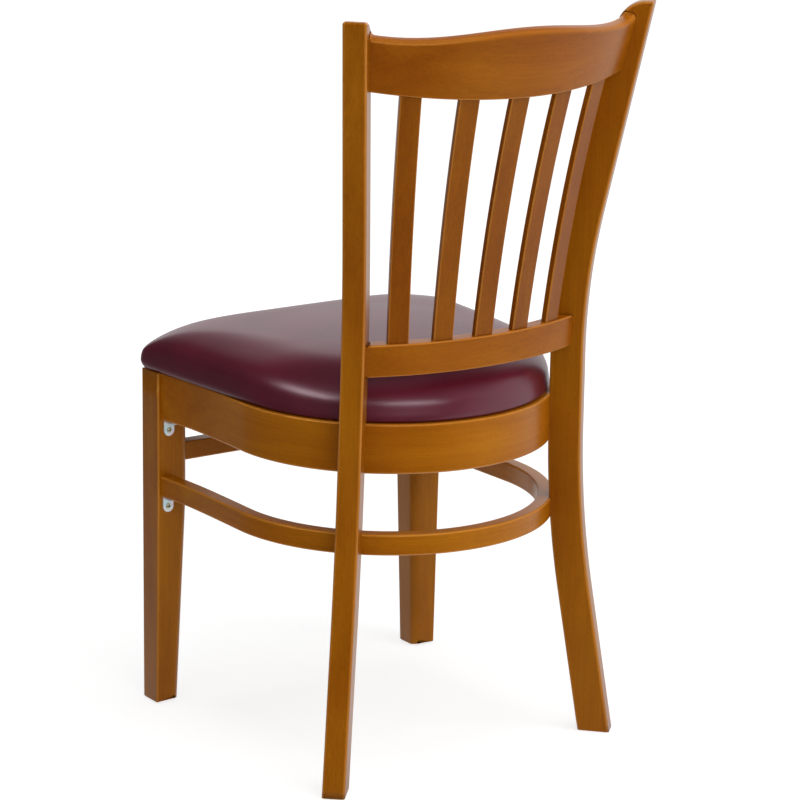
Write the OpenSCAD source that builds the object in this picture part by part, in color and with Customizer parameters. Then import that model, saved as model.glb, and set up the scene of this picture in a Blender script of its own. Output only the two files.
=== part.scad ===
// Restaurant chair with a slatted back, two bentwood rings and a padded seat.
// The floor is z = 0, the sitter faces -Y with their left hand towards +X,
// and the origin is on the floor under the middle of the chair.
// All sizes are in millimetres. Most places are worked out about the upright
// through the middle of the seat ring's round back, and then moved to the origin.

/* [Overall] */
// Height of the rear posts' tops above the floor
chair_h = 889; // [870:1:900]
// Half of the width across the front legs
front_half_w = 212; // [208:1:220]
// Height of the top of the wooden seat frame
frame_top_z = 422.5; // [415:0.5:432]
// Run from the middle of the round back to the backs of the front legs
side_run = 172; // [160:1:185]

/* [Seat ring] */
// Setback of the ring's round back from the outside of the front legs
ring_set = 11.5; // [9:0.5:16]
// Height of the seat ring
ring_h = 58.5; // [52:0.5:64]
// Thickness of the seat ring
ring_t = 20; // [17:0.5:22]
// Distance by which the ring's arms have turned out where they meet the legs
ring_flare = 6.5; // [3:0.5:8]

/* [Stretchers] */
// Drop of the round stretcher's underside below the seat ring's
stretcher_drop = 95.5; // [90:0.5:100]
// Height of the round stretcher
stretcher_h = 25; // [22:0.5:28]
// Thickness of the round stretcher
stretcher_t = 18; // [15:0.5:20]
// Drop of the straight front stretcher's underside below the seat ring's
front_bar_drop = 57.5; // [52:0.5:62]
// Distance by which the round stretcher's arms have turned out at the legs
stretcher_flare = 3.5; // [2:0.5:5]
// Height of the front stretcher
front_bar_h = 23; // [20:0.5:26]
// Thickness of the front stretcher and of the front rail
front_rail_t = 20; // [17:0.5:22]

/* [Front legs] */
// Width of a front leg at the top
leg_w = 43; // [40:0.5:44]
// Depth of a front leg at the top
leg_d = 38; // [36:0.5:40]
// Width of a front leg at the foot
foot_w = 32.5; // [28:0.5:35]
// Depth of a front leg at the foot
foot_d = 33; // [28:0.5:35]
// Drop of the top of a front leg's taper below the round stretcher
taper_drop = 6.5; // [5:0.5:40]
// Radius of the rounded inner edge of a front leg
leg_round = 10; // [6:0.5:13]

/* [Rear posts] */
// Thickness of a rear post, across its curve
post_t = 26.7; // [25:0.1:30]
// Depth of a rear post from the floor to the seat
post_d = 38.9; // [36:0.1:42]
// Depth of a rear post at its top
post_top_d = 36; // [33:0.5:38]
// Bearing of a rear post from straight back, in degrees
post_bearing_angle = 44.8; // [43.5:0.1:46]
// Angle by which a rear post is turned towards straight back, in degrees
post_turn_angle = 2.1; // [0:0.1:3]
// Angle at which a rear post leans in sideways, in degrees
post_cant_angle = 1.1; // [0.8:0.05:1.5]
// Angle of a rear post's foot, outwards and back, in degrees
foot_splay_angle = 9.3; // [8:0.1:10.5]
// Drop of the bend above the foot below the top of the seat frame
foot_bend_drop = 143.5; // [137:0.5:150]
// Radius of the bend above the foot
foot_bend_r = 1235; // [1150:5:1300]
// Angle of a rear post's top, outwards and back, in degrees
back_rake_angle = 12; // [11:0.1:13]
// Rise of the bend behind the sitter's back above the top of the seat frame
back_bend_rise = 133.5; // [128:0.5:139]
// Radius of the bend behind the sitter's back
back_bend_r = 818; // [780:2:860]
// Width of the rounded corner on top of a rear post
ear_w = 28; // [20:0.5:30]
// Height of the rounded corner on top of a rear post
ear_h = 24; // [16:0.5:26]

/* [Back rails] */
// Drop of the crest rail's lower back edge, at the posts, below the posts' tops
crest_end_drop = 78.8; // [75:0.1:84]
// Height of the crest rail at its ends, up the board
crest_end_h = 61.5; // [56:0.5:63]
// Extra height of the crest rail at its middle
crest_rise = 18.3; // [8:0.1:26]
// Radius of the curve that lifts the crest's top at the posts
crest_fillet = 5; // [3:0.5:9]
// Thickness of the crest rail
crest_t = 17; // [16.5:0.5:19]
// Radius of the crest rail's back face in plan
crest_r = 343; // [335:1:352]
// Angle at which the crest rail leans back, in degrees
crest_tilt_angle = 15.8; // [14.5:0.1:17]
// Rise of the lower rail's bottom back edge, at the posts, above the seat frame
rail_end_rise = 59.6; // [56:0.1:66]
// Height of the lower rail
rail_h = 37.5; // [33:0.5:42]
// Thickness of the lower rail
rail_t = 18; // [16:0.5:20]
// Radius of the lower rail's back face in plan
rail_r = 437; // [420:1:460]
// Angle at which the lower rail leans back, in degrees
rail_tilt_angle = 3.4; // [2:0.1:5]

/* [Slats] */
// Number of slats
slat_count = 5; // [5:1:5]
// Width of a slat
slat_w = 24.8; // [21:0.1:28]
// Thickness of a slat
slat_t = 8; // [6.5:0.1:9]
// Spacing of the slats on the lower rail
slat_pitch_low = 54; // [50:0.5:55]
// Spacing of the slats on the crest rail
slat_pitch_high = 64.8; // [62:0.1:66]
// Depth of the slats' curve towards the sitter
slat_bow = 5; // [2:0.5:8]
// Length of a slat's end inside a rail
slat_tenon = 14; // [10:0.5:18]
// Setback of a slat's middle from the lower rail's back face
slat_set_low = 7.5; // [7:0.1:8.5]
// Setback of a slat's middle from the crest rail's back face
slat_set_high = 9.5; // [9:0.1:10.5]

/* [Seat pad] */
// Overhang of the pad in front of the front legs
pad_overhang = 5; // [2:0.5:12]
// Thickness of the plywood board
board_t = 10; // [9:0.5:12]
// Thickness of the vinyl cover
cover_t = 1.2; // [0.8:0.1:1.6]
// Height of the pad's middle above the seat frame
pad_h = 64; // [52:0.5:76]
// Width over which the pad's edge rolls up to its top
pad_roll_w = 84; // [50:1:110]
// Height of the foam's upright edge above the board
foam_edge_h = 1.5; // [0.5:0.5:4]
// Distance by which the cover is drawn in round its lower edge
pad_tuck = 3; // [2:0.5:5]
// Radius of the pad's front corners
pad_corner_r = 10; // [8:0.5:16]
// Width of the cover's turned-in flange under the board
flange_w = 44; // [42:0.5:48]

/* [Hardware] */
// Height of a floor glide's pad
glide_h = 1.5; // [1.2:0.1:4]
// Radius of a floor glide's pad
glide_r = 8; // [6:0.5:10]
// Radius of a wooden dowel
dowel_r = 4; // [3:0.1:4.5]
// Length of a wooden dowel
dowel_l = 36; // [30:1:38]
// Length of each leg of a corner brace
brace_l = 20; // [18:0.5:22]
// Width of a corner brace
brace_w = 14; // [11:0.5:15]
// Thickness of a corner brace
brace_t = 1.8; // [1.2:0.1:2.2]
// Radius of the bolts that hold the rear posts
bolt_r = 3; // [2.5:0.1:3.5]

/* [Hidden] */

wood = [0.57, 0.31, 0.05];
pale_wood = [0.78, 0.62, 0.42];
vinyl = [0.39, 0.17, 0.22];
foam_colour = [0.93, 0.87, 0.70];
zinc = [0.70, 0.72, 0.72];
glide_colour = [0.25, 0.22, 0.20];

// Overrun of every cut past the face that it opens
overrun = 2;
// Gap round each glued tenon, dowel and slat end
glue_gap = 0.1;
// Clearance of the pad from the posts, and of the foam from its cover
soft_gap = 0.4;
// Gap between the pad and the frame that it rests on
rest_gap = 0.2;
// Radial clearance of a bolt or screw in a plain hole
hole_gap = 0.25;
// Radial clearance where a thread is drawn as a plain cylinder
thread_gap = 0.05;

// Depth of the housing that lets the seat ring into the posts
post_notch = 1.5;
// Depth of the housing that lets the round stretcher into the posts
stretcher_notch = 1.3;
// Rise of one step of a post's curved outline
post_step = 12;
// Shares of a post's depth, from its front, where the rails' back faces meet it
crest_back_share = 0.52;
rail_back_share = 0.634;
// Length, thickness and height of the rails' tenons
tenon_l = 18;
crest_tenon_t = 9;
crest_tenon_h = 40;
rail_tenon_t = 9;
rail_tenon_h = 24;
// Length of a tenon's root inside its rail
tenon_root = 5;

ring_r = front_half_w - ring_set;
ring_bottom_z = frame_top_z - ring_h;
stretcher_z = ring_bottom_z - stretcher_drop;
front_bar_z = ring_bottom_z - front_bar_drop;
taper_z = stretcher_z - taper_drop;
back_bend_z = frame_top_z + back_bend_rise;
foot_bend_z = frame_top_z - foot_bend_drop;
crest_end_z = chair_h - crest_end_drop;
rail_end_z = frame_top_z + rail_end_rise;
// A post gets shallower from a little above the seat frame
post_thin_z = frame_top_z + post_t;
ring_mid_z = frame_top_z - ring_h / 2;
post_r = ring_r - post_notch + post_d / 2;
stretcher_mid_z = stretcher_z + stretcher_h / 2;
stretcher_r = post_r - post_d / 2 + post_line(stretcher_mid_z) + stretcher_notch;
leg_back_y = -side_run;
leg_front_y = leg_back_y - leg_d;
leg_inner_x = front_half_w - leg_w;
leg_lean_x = atan((leg_w - foot_w) / (taper_z - glide_h));
leg_lean_y = atan((leg_d - foot_d) / (taper_z - glide_h) * cos(leg_lean_x));
// Setback of the front seat rail from the legs' front faces
seat_rail_set = 3;
seat_rail_mid_y = leg_front_y + seat_rail_set + front_rail_t / 2;
front_bar_mid_y = leg_front_y + leg_d / 2;

pad_r = ring_r - post_notch - soft_gap;
// Height of the pad's upright side, and the pad's underside
pad_side_h = cover_t + board_t + foam_edge_h;
pad_z = frame_top_z + rest_gap;
pad_front_y = leg_front_y - pad_overhang;
// The pad's straight sides reach the outside of the front legs
pad_side_angle = atan((front_half_w - pad_r) / side_run);
pad_mid_y = -17;

// Offset of a line at height h that bends once by an angle at a knee, with a radius
function bend(h, knee, angle, r) =
    let (tangent = r * tan(angle / 2))
    h <= knee - tangent ? 0
    : h < knee + tangent * cos(angle) ? r - sqrt(r * r - pow(h - knee + tangent, 2))
    : (h - knee) * tan(angle);

// Outward offset of a rear post's middle line at height z, and its depth there
function post_line(z) =
    bend(z, back_bend_z, back_rake_angle, back_bend_r)
    + bend(-z, -foot_bend_z, foot_splay_angle, foot_bend_r);
function post_depth(z) =
    post_d - (post_d - post_top_d) * max(0, (z - post_thin_z) / (chair_h - post_thin_z));

// A point of the left rear post: height, share of the depth from its front,
// and side of its thickness from -1 for the outer face to 1 for the inner face
function post_point(z, depth_share, side) =
    let (
        facing = post_bearing_angle - post_turn_angle,
        out = post_line(z) + (depth_share - 0.5) * post_depth(z),
        y = side * post_t / 2,
        above = z - frame_top_z,
        inward = y * cos(post_cant_angle) + above * sin(post_cant_angle))
    [post_r * sin(post_bearing_angle) + out * sin(facing) - inward * cos(facing),
     post_r * cos(post_bearing_angle) + out * cos(facing) + inward * sin(facing),
     frame_top_z + above * cos(post_cant_angle) - y * sin(post_cant_angle)];

// Drop of an arc of radius r at x from its middle
function sag(r, x) = r - sqrt(r * r - x * x);

// A bent board is [radius, tilt, middle of its lower back edge], hung from its ends at the posts
function hung_board(r, tilt, end) =
    [r, tilt, [0, end[1] + sag(r, end[0]) * cos(tilt), end[2] - sag(r, end[0]) * sin(tilt)]];
crest_board = hung_board(crest_r, crest_tilt_angle, post_point(crest_end_z, crest_back_share, 1));
rail_board = hung_board(rail_r, rail_tilt_angle, post_point(rail_end_z, rail_back_share, 1));

// A point of a bent board: x, height up the board and setback from its back face
function board_point(board, x, up, set) =
    let (deep = -sag(board[0] - set, x) - set)
    board[2] + [x, up * sin(board[1]) + deep * cos(board[1]),
                up * cos(board[1]) - deep * sin(board[1])];

crest_top_x = post_point(crest_end_z + crest_end_h, crest_back_share, 1)[0];

// The middle of the whole chair from front to back
back_reach = board_point(crest_board, 0, crest_end_h + crest_rise, 0)[1];
mid_y = (back_reach + pad_front_y) / 2;

// Places in the frame of the round back are moved to the origin
module placed() {
    translate([0, -mid_y, 0]) children();
}

// The sitter's right side mirrors the left one
module on_side(side) {
    mirror([side > 0 ? 0 : 1, 0, 0]) children();
}

// The frame of a rear post: x outwards along its depth, y inwards across its thickness
module at_post(side) {
    on_side(side)
        translate([0, 0, frame_top_z])
            rotate([0, 0, 90 - post_bearing_angle])
                translate([post_r, 0, 0])
                    rotate([0, 0, post_turn_angle])
                        rotate([-post_cant_angle, 0, 0])
                            translate([0, 0, -frame_top_z])
                                children();
}

// The radial line through a rear post at height z, with z outwards
module along_post(side, z) {
    on_side(side) rotate([0, 0, 90 - post_bearing_angle]) translate([0, 0, z]) rotate([0, 90, 0]) children();
}

// Rear posts
module post_outline() {
    steps = ceil((chair_h - ear_h) / post_step);
    rise = (chair_h - ear_h) / steps;
    side_zs = [for (i = [0:steps]) i * rise];
    front = [for (z = side_zs) [post_line(z) - post_depth(z) / 2, z]];
    ear = [for (a = [10:10:90])
        let (z = chair_h - ear_h + ear_h * sin(a))
        [post_line(z) - post_depth(z) / 2 + ear_w * (1 - cos(a)), z]];
    back = [for (i = [steps:-1:0]) [post_line(side_zs[i]) + post_depth(side_zs[i]) / 2, side_zs[i]]];
    top_back = [[post_line(chair_h) + post_depth(chair_h) / 2, chair_h]];
    polygon(concat(front, ear, top_back, back));
}

// A tenon in the frame of a post, along the post's lean at height z
module tenon(z, mid_share, thick, high, gap, deeper, root) {
    lean = atan((post_line(z + high / 2) - post_line(z - high / 2)) / high);
    translate([post_line(z) + (mid_share - 0.5) * post_depth(z), post_t / 2, z])
        rotate([0, lean, 0])
            translate([-thick / 2 - gap, -tenon_l - deeper, -high / 2 - gap])
                cube([thick + 2 * gap, tenon_l + deeper + root, high + 2 * gap]);
}

crest_tenon_z = crest_end_z + crest_end_h * cos(crest_tilt_angle) / 2;
crest_tenon_share = crest_back_share - crest_t / post_depth(crest_tenon_z) / 2;
rail_tenon_z = rail_end_z + rail_h / 2;
rail_tenon_share = rail_back_share - rail_t / post_depth(rail_tenon_z) / 2;

module crest_tenon(gap, deeper, root) {
    tenon(crest_tenon_z, crest_tenon_share, crest_tenon_t, crest_tenon_h, gap, deeper, root);
}

module rail_tenon(gap, deeper, root) {
    tenon(rail_tenon_z, rail_tenon_share, rail_tenon_t, rail_tenon_h, gap, deeper, root);
}

module rear_post(side) {
    color(wood) placed() difference() {
        at_post(side)
            rotate([90, 0, 0]) linear_extrude(height = post_t, center = true) post_outline();
        // the foot is cut level for its glide
        translate([-chair_h, -chair_h, -chair_h]) cube([2 * chair_h, 2 * chair_h, chair_h + glide_h]);
        // housings for the two rings
        translate([0, 0, ring_bottom_z - glue_gap])
            cylinder(h = ring_h + 2 * glue_gap, r = ring_r + glue_gap, $fn = 180);
        translate([0, 0, stretcher_z - glue_gap])
            cylinder(h = stretcher_h + 2 * glue_gap, r = stretcher_r + glue_gap, $fn = 180);
        // mortises for the rails
        at_post(side) crest_tenon(glue_gap, overrun, overrun);
        at_post(side) rail_tenon(glue_gap, overrun, overrun);
        // bores for the inserts, the stretcher's screw and the glide's nail
        for (z = bolt_zs)
            along_post(side, z) translate([0, 0, ring_r - overrun])
                cylinder(h = insert_l + 2 * overrun, r = insert_r + glue_gap);
        along_post(side, stretcher_mid_z) translate([0, 0, stretcher_r - overrun])
            cylinder(h = frame_screw_l - stretcher_t + 2 * overrun, r = frame_screw_r + thread_gap);
        glide_at(side, true) glide_bore();
    }
}

// Rails of the back
module bent_board(board, thick) {
    r = board[0];
    translate(board[2]) rotate([-board[1], 0, 0]) intersection() {
        translate([0, -r, -overrun]) difference() {
            cylinder(h = chair_h / 4, r = r, $fn = 240);
            translate([0, 0, -overrun]) cylinder(h = chair_h / 4 + 2 * overrun, r = r - thick, $fn = 240);
        }
        translate([0, overrun, 0]) rotate([90, 0, 0]) linear_extrude(height = r) children();
    }
}

// What lies beyond the posts' inner faces is cut from a rail's ends
module beyond_posts(z) {
    for (side = [1, -1])
        at_post(side) translate([post_line(z) - 2 * post_d, -4 * post_t + post_t / 2, z - 3 * post_d])
            cube([4 * post_d, 4 * post_t, 6 * post_d]);
}

module crest_profile() {
    wide = crest_top_x + post_t / 2;
    turn = crest_top_x - crest_fillet;
    top = [for (i = [-32:32])
        let (x = -crest_top_x * i / 32, past = max(0, abs(x) - turn))
        [x, crest_end_h + crest_rise * (1 + cos(180 * x / crest_top_x)) / 2 + sag(crest_fillet, past)]];
    end_z = crest_end_h + crest_fillet;
    polygon(concat([[-wide, 0], [wide, 0], [wide, end_z]], top, [[-wide, end_z]]));
}

module rail_profile() {
    wide = post_point(rail_end_z + rail_h, rail_back_share, 1)[0] + post_t / 2;
    translate([-wide, 0]) square([2 * wide, rail_h]);
}

module crest_rail() {
    color(wood) placed() difference() {
        union() {
            difference() {
                bent_board(crest_board, crest_t) crest_profile();
                beyond_posts(crest_tenon_z);
            }
            for (side = [1, -1]) at_post(side) crest_tenon(0, 0, tenon_root);
        }
        for (i = [1:slat_count]) slat_solid(i, glue_gap);
    }
}

module lower_back_rail() {
    color(wood) placed() difference() {
        union() {
            difference() {
                bent_board(rail_board, rail_t) rail_profile();
                beyond_posts(rail_tenon_z);
            }
            for (side = [1, -1]) at_post(side) rail_tenon(0, 0, tenon_root);
        }
        for (i = [1:slat_count]) slat_solid(i, glue_gap);
    }
}

// Slats, numbered from the sitter's left, let into both rails
module slat_solid(i, gap) {
    place = (slat_count + 1) / 2 - i;
    low = board_point(rail_board, place * slat_pitch_low, rail_h, slat_set_low);
    high = board_point(crest_board, place * slat_pitch_high, 0, slat_set_high);
    turn = (asin(low[0] / rail_r) + asin(high[0] / crest_r)) / 2;
    run = high - low;
    long = norm(run);
    side_run_x = run[0] * cos(turn) - run[1] * sin(turn);
    back_run = run[0] * sin(turn) + run[1] * cos(turn);
    ends = slat_tenon + (gap > 0 ? glue_gap : 0);
    steps = 14;
    zs = [for (k = [0:steps]) -ends + (long + 2 * ends) * k / steps];
    function bow_at(z) = -slat_bow * (1 - pow(2 * z / long - 1, 2));
    half = slat_t / 2 + gap;
    translate(low)
        rotate([0, 0, -turn])
            rotate([-atan(back_run / run[2]), 0, 0])
                rotate([0, asin(side_run_x / long), 0])
                    rotate([90, 0, 90])
                        linear_extrude(height = slat_w + 2 * gap, center = true)
                            polygon(concat(
                                [for (z = zs) [bow_at(z) + half, z]],
                                [for (k = [steps:-1:0]) [bow_at(zs[k]) - half, zs[k]]]));
}

module back_slat(i) {
    color(wood) placed() slat_solid(i, 0);
}

// Bentwood rings: a half circle with two side arms, in plan. The arms draw in a
// little on their way to the front and turn out again where they meet the legs.
arm_dip_share = 0.7;
arm_steps = 8;
function arm_off(share, flare) =
    -arm_dip_share * flare * share + (1 + arm_dip_share) * flare * pow(share, 4);

// Angle by which the arms reach into the ends of the round back, in degrees
arm_key_angle = 4;

module bent_ring(r, thick, flare, z, high) {
    in_r = r - thick;
    mid_r = r - thick / 2;
    translate([0, 0, z]) {
        rotate_extrude(angle = 180, $fn = 180) translate([in_r, 0]) square([thick, high]);
        for (side = [1, -1]) on_side(side) linear_extrude(height = high)
            polygon(concat(
                [[r, 0], [mid_r * cos(arm_key_angle), mid_r * sin(arm_key_angle)]],
                [for (i = [0:arm_steps]) [in_r + arm_off(i / arm_steps, flare), leg_back_y * i / arm_steps]],
                [for (i = [arm_steps:-1:1]) [r + arm_off(i / arm_steps, flare), leg_back_y * i / arm_steps]]));
    }
}

ring_arm_x = ring_r + ring_flare - ring_t / 2;
stretcher_arm_x = stretcher_r + stretcher_flare - stretcher_t / 2;

module seat_ring() {
    color(wood) placed() difference() {
        bent_ring(ring_r, ring_t, ring_flare, ring_bottom_z, ring_h);
        for (side = [1, -1]) {
            for (z = bolt_zs)
                along_post(side, z) translate([0, 0, ring_r - ring_t - overrun])
                    cylinder(h = ring_t + 2 * overrun, r = bolt_r + hole_gap);
            ring_dowels_at(side) dowel(glue_gap);
            brace_at(side, ring_arm_x, ring_bottom_z) brace_screw_up(thread_gap);
            block_screws_at(side) wood_screw(block_screw_l, block_screw_r, thread_gap);
        }
    }
}

module stretcher_ring() {
    color(wood) placed() difference() {
        bent_ring(stretcher_r, stretcher_t, stretcher_flare, stretcher_z, stretcher_h);
        for (side = [1, -1]) {
            along_post(side, stretcher_mid_z) translate([0, 0, stretcher_r - stretcher_t])
                wood_screw(frame_screw_l, frame_screw_r, hole_gap);
            stretcher_dowel_at(side) dowel(glue_gap);
            brace_at(side, stretcher_arm_x, stretcher_z) brace_screw_up(thread_gap);
        }
    }
}

// Straight rails between the front legs
module front_rail(mid_y_here, z, high) {
    translate([-leg_inner_x, mid_y_here - front_rail_t / 2, z])
        cube([2 * leg_inner_x, front_rail_t, high]);
}

module front_seat_rail() {
    color(wood) placed() difference() {
        front_rail(seat_rail_mid_y, ring_bottom_z, ring_h);
        for (side = [1, -1]) {
            seat_rail_dowels_at(side) dowel(glue_gap);
            block_screws_at(side) wood_screw(block_screw_l, block_screw_r, thread_gap);
        }
    }
}

module front_stretcher() {
    color(wood) placed() difference() {
        front_rail(front_bar_mid_y, front_bar_z, front_bar_h);
        for (side = [1, -1]) front_stretcher_dowel_at(side) dowel(glue_gap);
    }
}

// Front legs: the outer and front faces are upright, the other two taper below the stretchers
module leg_blank() {
    intersection() {
        translate([front_half_w, leg_front_y + leg_d, 0]) rotate([90, 0, 0]) linear_extrude(height = leg_d)
            polygon([[0, glide_h], [0, frame_top_z], [-leg_w, frame_top_z], [-leg_w, taper_z], [-foot_w, glide_h]]);
        translate([leg_inner_x, leg_front_y, 0]) rotate([90, 0, 90]) linear_extrude(height = leg_w)
            polygon([[0, glide_h], [foot_d, glide_h], [leg_d, taper_z], [leg_d, frame_top_z], [0, frame_top_z]]);
    }
}

// What is cut from a leg's inner back edge, with that edge along z
module edge_cutter(long) {
    centre = 1.3 * leg_round;
    translate([0, 0, -overrun]) linear_extrude(height = long + 2 * overrun) difference() {
        translate([-overrun, -centre]) square([centre + overrun, centre + overrun]);
        translate([centre, -centre]) circle(r = norm([centre, centre - leg_round]), $fn = 96);
    }
}

module front_leg(side) {
    color(wood) placed() difference() {
        on_side(side) leg_blank();
        on_side(side) translate([leg_inner_x, leg_back_y, taper_z]) {
            edge_cutter(frame_top_z - taper_z);
            // below the stretchers the edge leans with the taper
            rotate([-leg_lean_y, -leg_lean_x, 0]) mirror([0, 0, 1]) edge_cutter(norm([leg_w, taper_z]));
        }
        ring_dowels_at(side) dowel(glue_gap);
        seat_rail_dowels_at(side) dowel(glue_gap);
        stretcher_dowel_at(side) dowel(glue_gap);
        front_stretcher_dowel_at(side) dowel(glue_gap);
        brace_at(side, ring_arm_x, ring_bottom_z) brace_screw_in(thread_gap);
        brace_at(side, stretcher_arm_x, stretcher_z) brace_screw_in(thread_gap);
        glide_at(side, false) glide_bore();
    }
}

// Blocks inside the seat frame that the seat is screwed to
block_h = 30;
// Drop of the blocks' tops below the frame's top
block_drop = 2;
block_z = frame_top_z - block_drop - block_h;
// Reach of a front block along the seat rail and along the ring
front_block_reach = 62;
// Width and depth of a rear block, and its bearing from straight back
rear_block_w = 56;
rear_block_d = 30;
rear_block_angle = 16;
front_block_back_y = seat_rail_mid_y + front_rail_t / 2;

// Setback of the front seat screws from the front legs
front_screw_set = 16;
// Places of the seat's screws, front and rear, on the sitter's left
front_screw_x = leg_inner_x - front_screw_set;
front_screw_y = leg_back_y + front_screw_set / 2;
rear_screw_r = ring_r - ring_t - rear_block_d / 2;

module front_block_plan() {
    x = leg_inner_x - glue_gap;
    y = leg_back_y + glue_gap;
    in_r = ring_r - ring_t - glue_gap;
    back_y = y + front_block_reach;
    // the outer edge follows the inside of the ring's arm
    first = 1 + floor(arm_steps * back_y / leg_back_y);
    places = concat([back_y / leg_back_y], [for (i = [first:arm_steps]) min(i / arm_steps, y / leg_back_y)]);
    polygon(concat([[x - front_block_reach, front_block_back_y], [x, front_block_back_y], [x, y]],
        [for (i = [len(places) - 1:-1:0]) [in_r + arm_off(places[i], ring_flare), leg_back_y * places[i]]]));
}

module front_corner_block(side) {
    color(pale_wood) placed() difference() {
        on_side(side) translate([0, 0, block_z]) linear_extrude(height = block_h) front_block_plan();
        seat_screws_at(side) seat_screw_hole();
        block_screws_at(side) wood_screw(block_screw_l, block_screw_r, hole_gap);
    }
}

module rear_seat_block(side) {
    color(pale_wood) placed() difference() {
        on_side(side) rotate([0, 0, -rear_block_angle]) translate([0, 0, block_z])
            linear_extrude(height = block_h) intersection() {
                circle(r = ring_r - ring_t - glue_gap, $fn = 180);
                translate([-rear_block_w / 2, ring_r - ring_t - rear_block_d])
                    square([rear_block_w, rear_block_d]);
            }
        seat_screws_at(side) seat_screw_hole();
        block_screws_at(side) wood_screw(block_screw_l, block_screw_r, hole_gap);
    }
}

// Countersunk wood screw along z from its head, with the head's face at z = 0
module wood_screw(long, r, gap) {
    rotate_extrude($fn = 32)
        polygon([[0, 0], [2 * r + gap, 0], [2 * r + gap, gap], [r + gap, r + gap],
            [r + gap, long - 2 * r + gap], [0, long + gap]]);
}

// Screws that hold the blocks to the ring and to the front seat rail
block_screw_r = 2;
block_screw_l = 34;
// Setback of a block screw from the end of its block
block_screw_set = 16;

module block_screws_at(side) {
    z = block_z + block_h / 2;
    on_side(side) {
        // through a front block into the front seat rail, and into the ring's arm
        translate([leg_inner_x - front_block_reach + block_screw_set + block_screw_l / 2,
                   front_block_back_y + block_screw_l / 2, z])
            rotate([90, 0, 0]) children();
        translate([ring_r - ring_t - block_screw_l / 2, leg_back_y + front_block_reach - block_screw_set, z])
            rotate([0, 90, 0]) children();
        // through a rear block into the ring, either side of the seat's screw
        for (x = [-1, 1])
            rotate([0, 0, -rear_block_angle])
                translate([x * (rear_block_w / 2 - block_screw_set / 2),
                           ring_r - ring_t - rear_block_d + block_screw_r, z])
                    rotate([-90, 0, 0]) children();
    }
}

module block_screws() {
    color(zinc) placed() for (side = [1, -1])
        block_screws_at(side) wood_screw(block_screw_l, block_screw_r, 0);
}

// Seat screws come up through the blocks into the board
seat_screw_r = 2.4;
seat_screw_head_r = 4.5;
seat_screw_head_h = 3;
washer_t = 1.5;
washer_r = 7;
// Length of a seat screw inside the board
seat_screw_bite = 9;

board_z = pad_z + cover_t;
module seat_screws_at(side) {
    on_side(side) {
        translate([front_screw_x, front_screw_y, block_z]) children();
        rotate([0, 0, -rear_block_angle]) translate([0, rear_screw_r, block_z]) children();
    }
}

module seat_screw_hole() {
    translate([0, 0, -overrun]) cylinder(h = block_h + 2 * overrun, r = seat_screw_r + hole_gap);
}

module seat_screw() {
    translate([0, 0, -washer_t - seat_screw_head_h]) cylinder(h = seat_screw_head_h, r = seat_screw_head_r);
    translate([0, 0, -washer_t - overrun / 2])
        cylinder(h = board_z - block_z + seat_screw_bite + washer_t + overrun / 2, r = seat_screw_r);
}

module seat_screws() {
    color(zinc) placed() for (side = [1, -1]) seat_screws_at(side) seat_screw();
}

module washer(hole_r, out_r, thick) {
    difference() {
        cylinder(h = thick, r = out_r);
        translate([0, 0, -overrun]) cylinder(h = thick + 2 * overrun, r = hole_r);
    }
}

module seat_screw_washers() {
    color(zinc) placed() for (side = [1, -1])
        seat_screws_at(side) translate([0, 0, -washer_t]) washer(seat_screw_r + hole_gap, washer_r, washer_t);
}

// Bolts from inside the ring into threaded inserts in the posts
bolt_head_r = 5;
bolt_head_h = 6;
bolt_key_r = 2.5;
bolt_l = 36;
insert_r = 5;
insert_l = 17;
// Distance of the bolts above and below the ring's middle
bolt_rise = 14;
bolt_zs = [ring_mid_z - bolt_rise, ring_mid_z + bolt_rise];

// The post bolts' axes, with z = 0 on the ring's round inner face
module bolts_at(side) {
    for (z = bolt_zs) along_post(side, z) translate([0, 0, bolt_seat_r]) children();
}

// Radius at which a flat washer clears the ring's hollow face
bolt_seat_r = sqrt(pow(ring_r - ring_t, 2) - washer_r * washer_r);

module post_bolts() {
    color(zinc) placed() for (side = [1, -1]) bolts_at(side) difference() {
        union() {
            translate([0, 0, -washer_t - bolt_head_h]) cylinder(h = bolt_head_h, r = bolt_head_r);
            translate([0, 0, -washer_t - bolt_head_h / 2])
                cylinder(h = washer_t + bolt_head_h / 2 + bolt_l, r = bolt_r);
        }
        translate([0, 0, -washer_t - bolt_head_h - overrun])
            cylinder(h = bolt_head_h / 2 + overrun, r = bolt_key_r, $fn = 6);
    }
}

module post_bolt_washers() {
    color(zinc) placed() for (side = [1, -1])
        bolts_at(side) translate([0, 0, -washer_t]) washer(bolt_r + hole_gap, washer_r, washer_t);
}

module post_bolt_inserts() {
    color(zinc) placed() for (side = [1, -1]) for (z = bolt_zs)
        along_post(side, z) translate([0, 0, ring_r + 2 * glue_gap])
            washer(bolt_r + thread_gap, insert_r, insert_l);
}

// One long screw at each post holds the round stretcher
frame_screw_r = 2.5;
frame_screw_l = 46;

module stretcher_screws() {
    color(zinc) placed() for (side = [1, -1])
        along_post(side, stretcher_mid_z) translate([0, 0, stretcher_r - stretcher_t])
            wood_screw(frame_screw_l, frame_screw_r, 0);
}

// Steel corner braces under the rings' ends, on the backs of the front legs
brace_screw_r = 1.75;
brace_screw_l = 12;
brace_head_r = 3.4;
brace_head_h = 2.2;
// Distance of a brace's holes from its bend
brace_hole = 12.5;

// The frame of a brace: origin at the bend, y back along the ring, z up
module brace_at(side, x, z) {
    on_side(side) translate([x, leg_back_y, z]) children();
}

module brace_plate() {
    difference() {
        union() {
            translate([-brace_w / 2, 0]) square([brace_w, brace_l - brace_w / 2]);
            translate([0, brace_l - brace_w / 2]) circle(r = brace_w / 2, $fn = 48);
        }
        translate([0, brace_hole]) circle(r = brace_screw_r + hole_gap, $fn = 32);
    }
}

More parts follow.
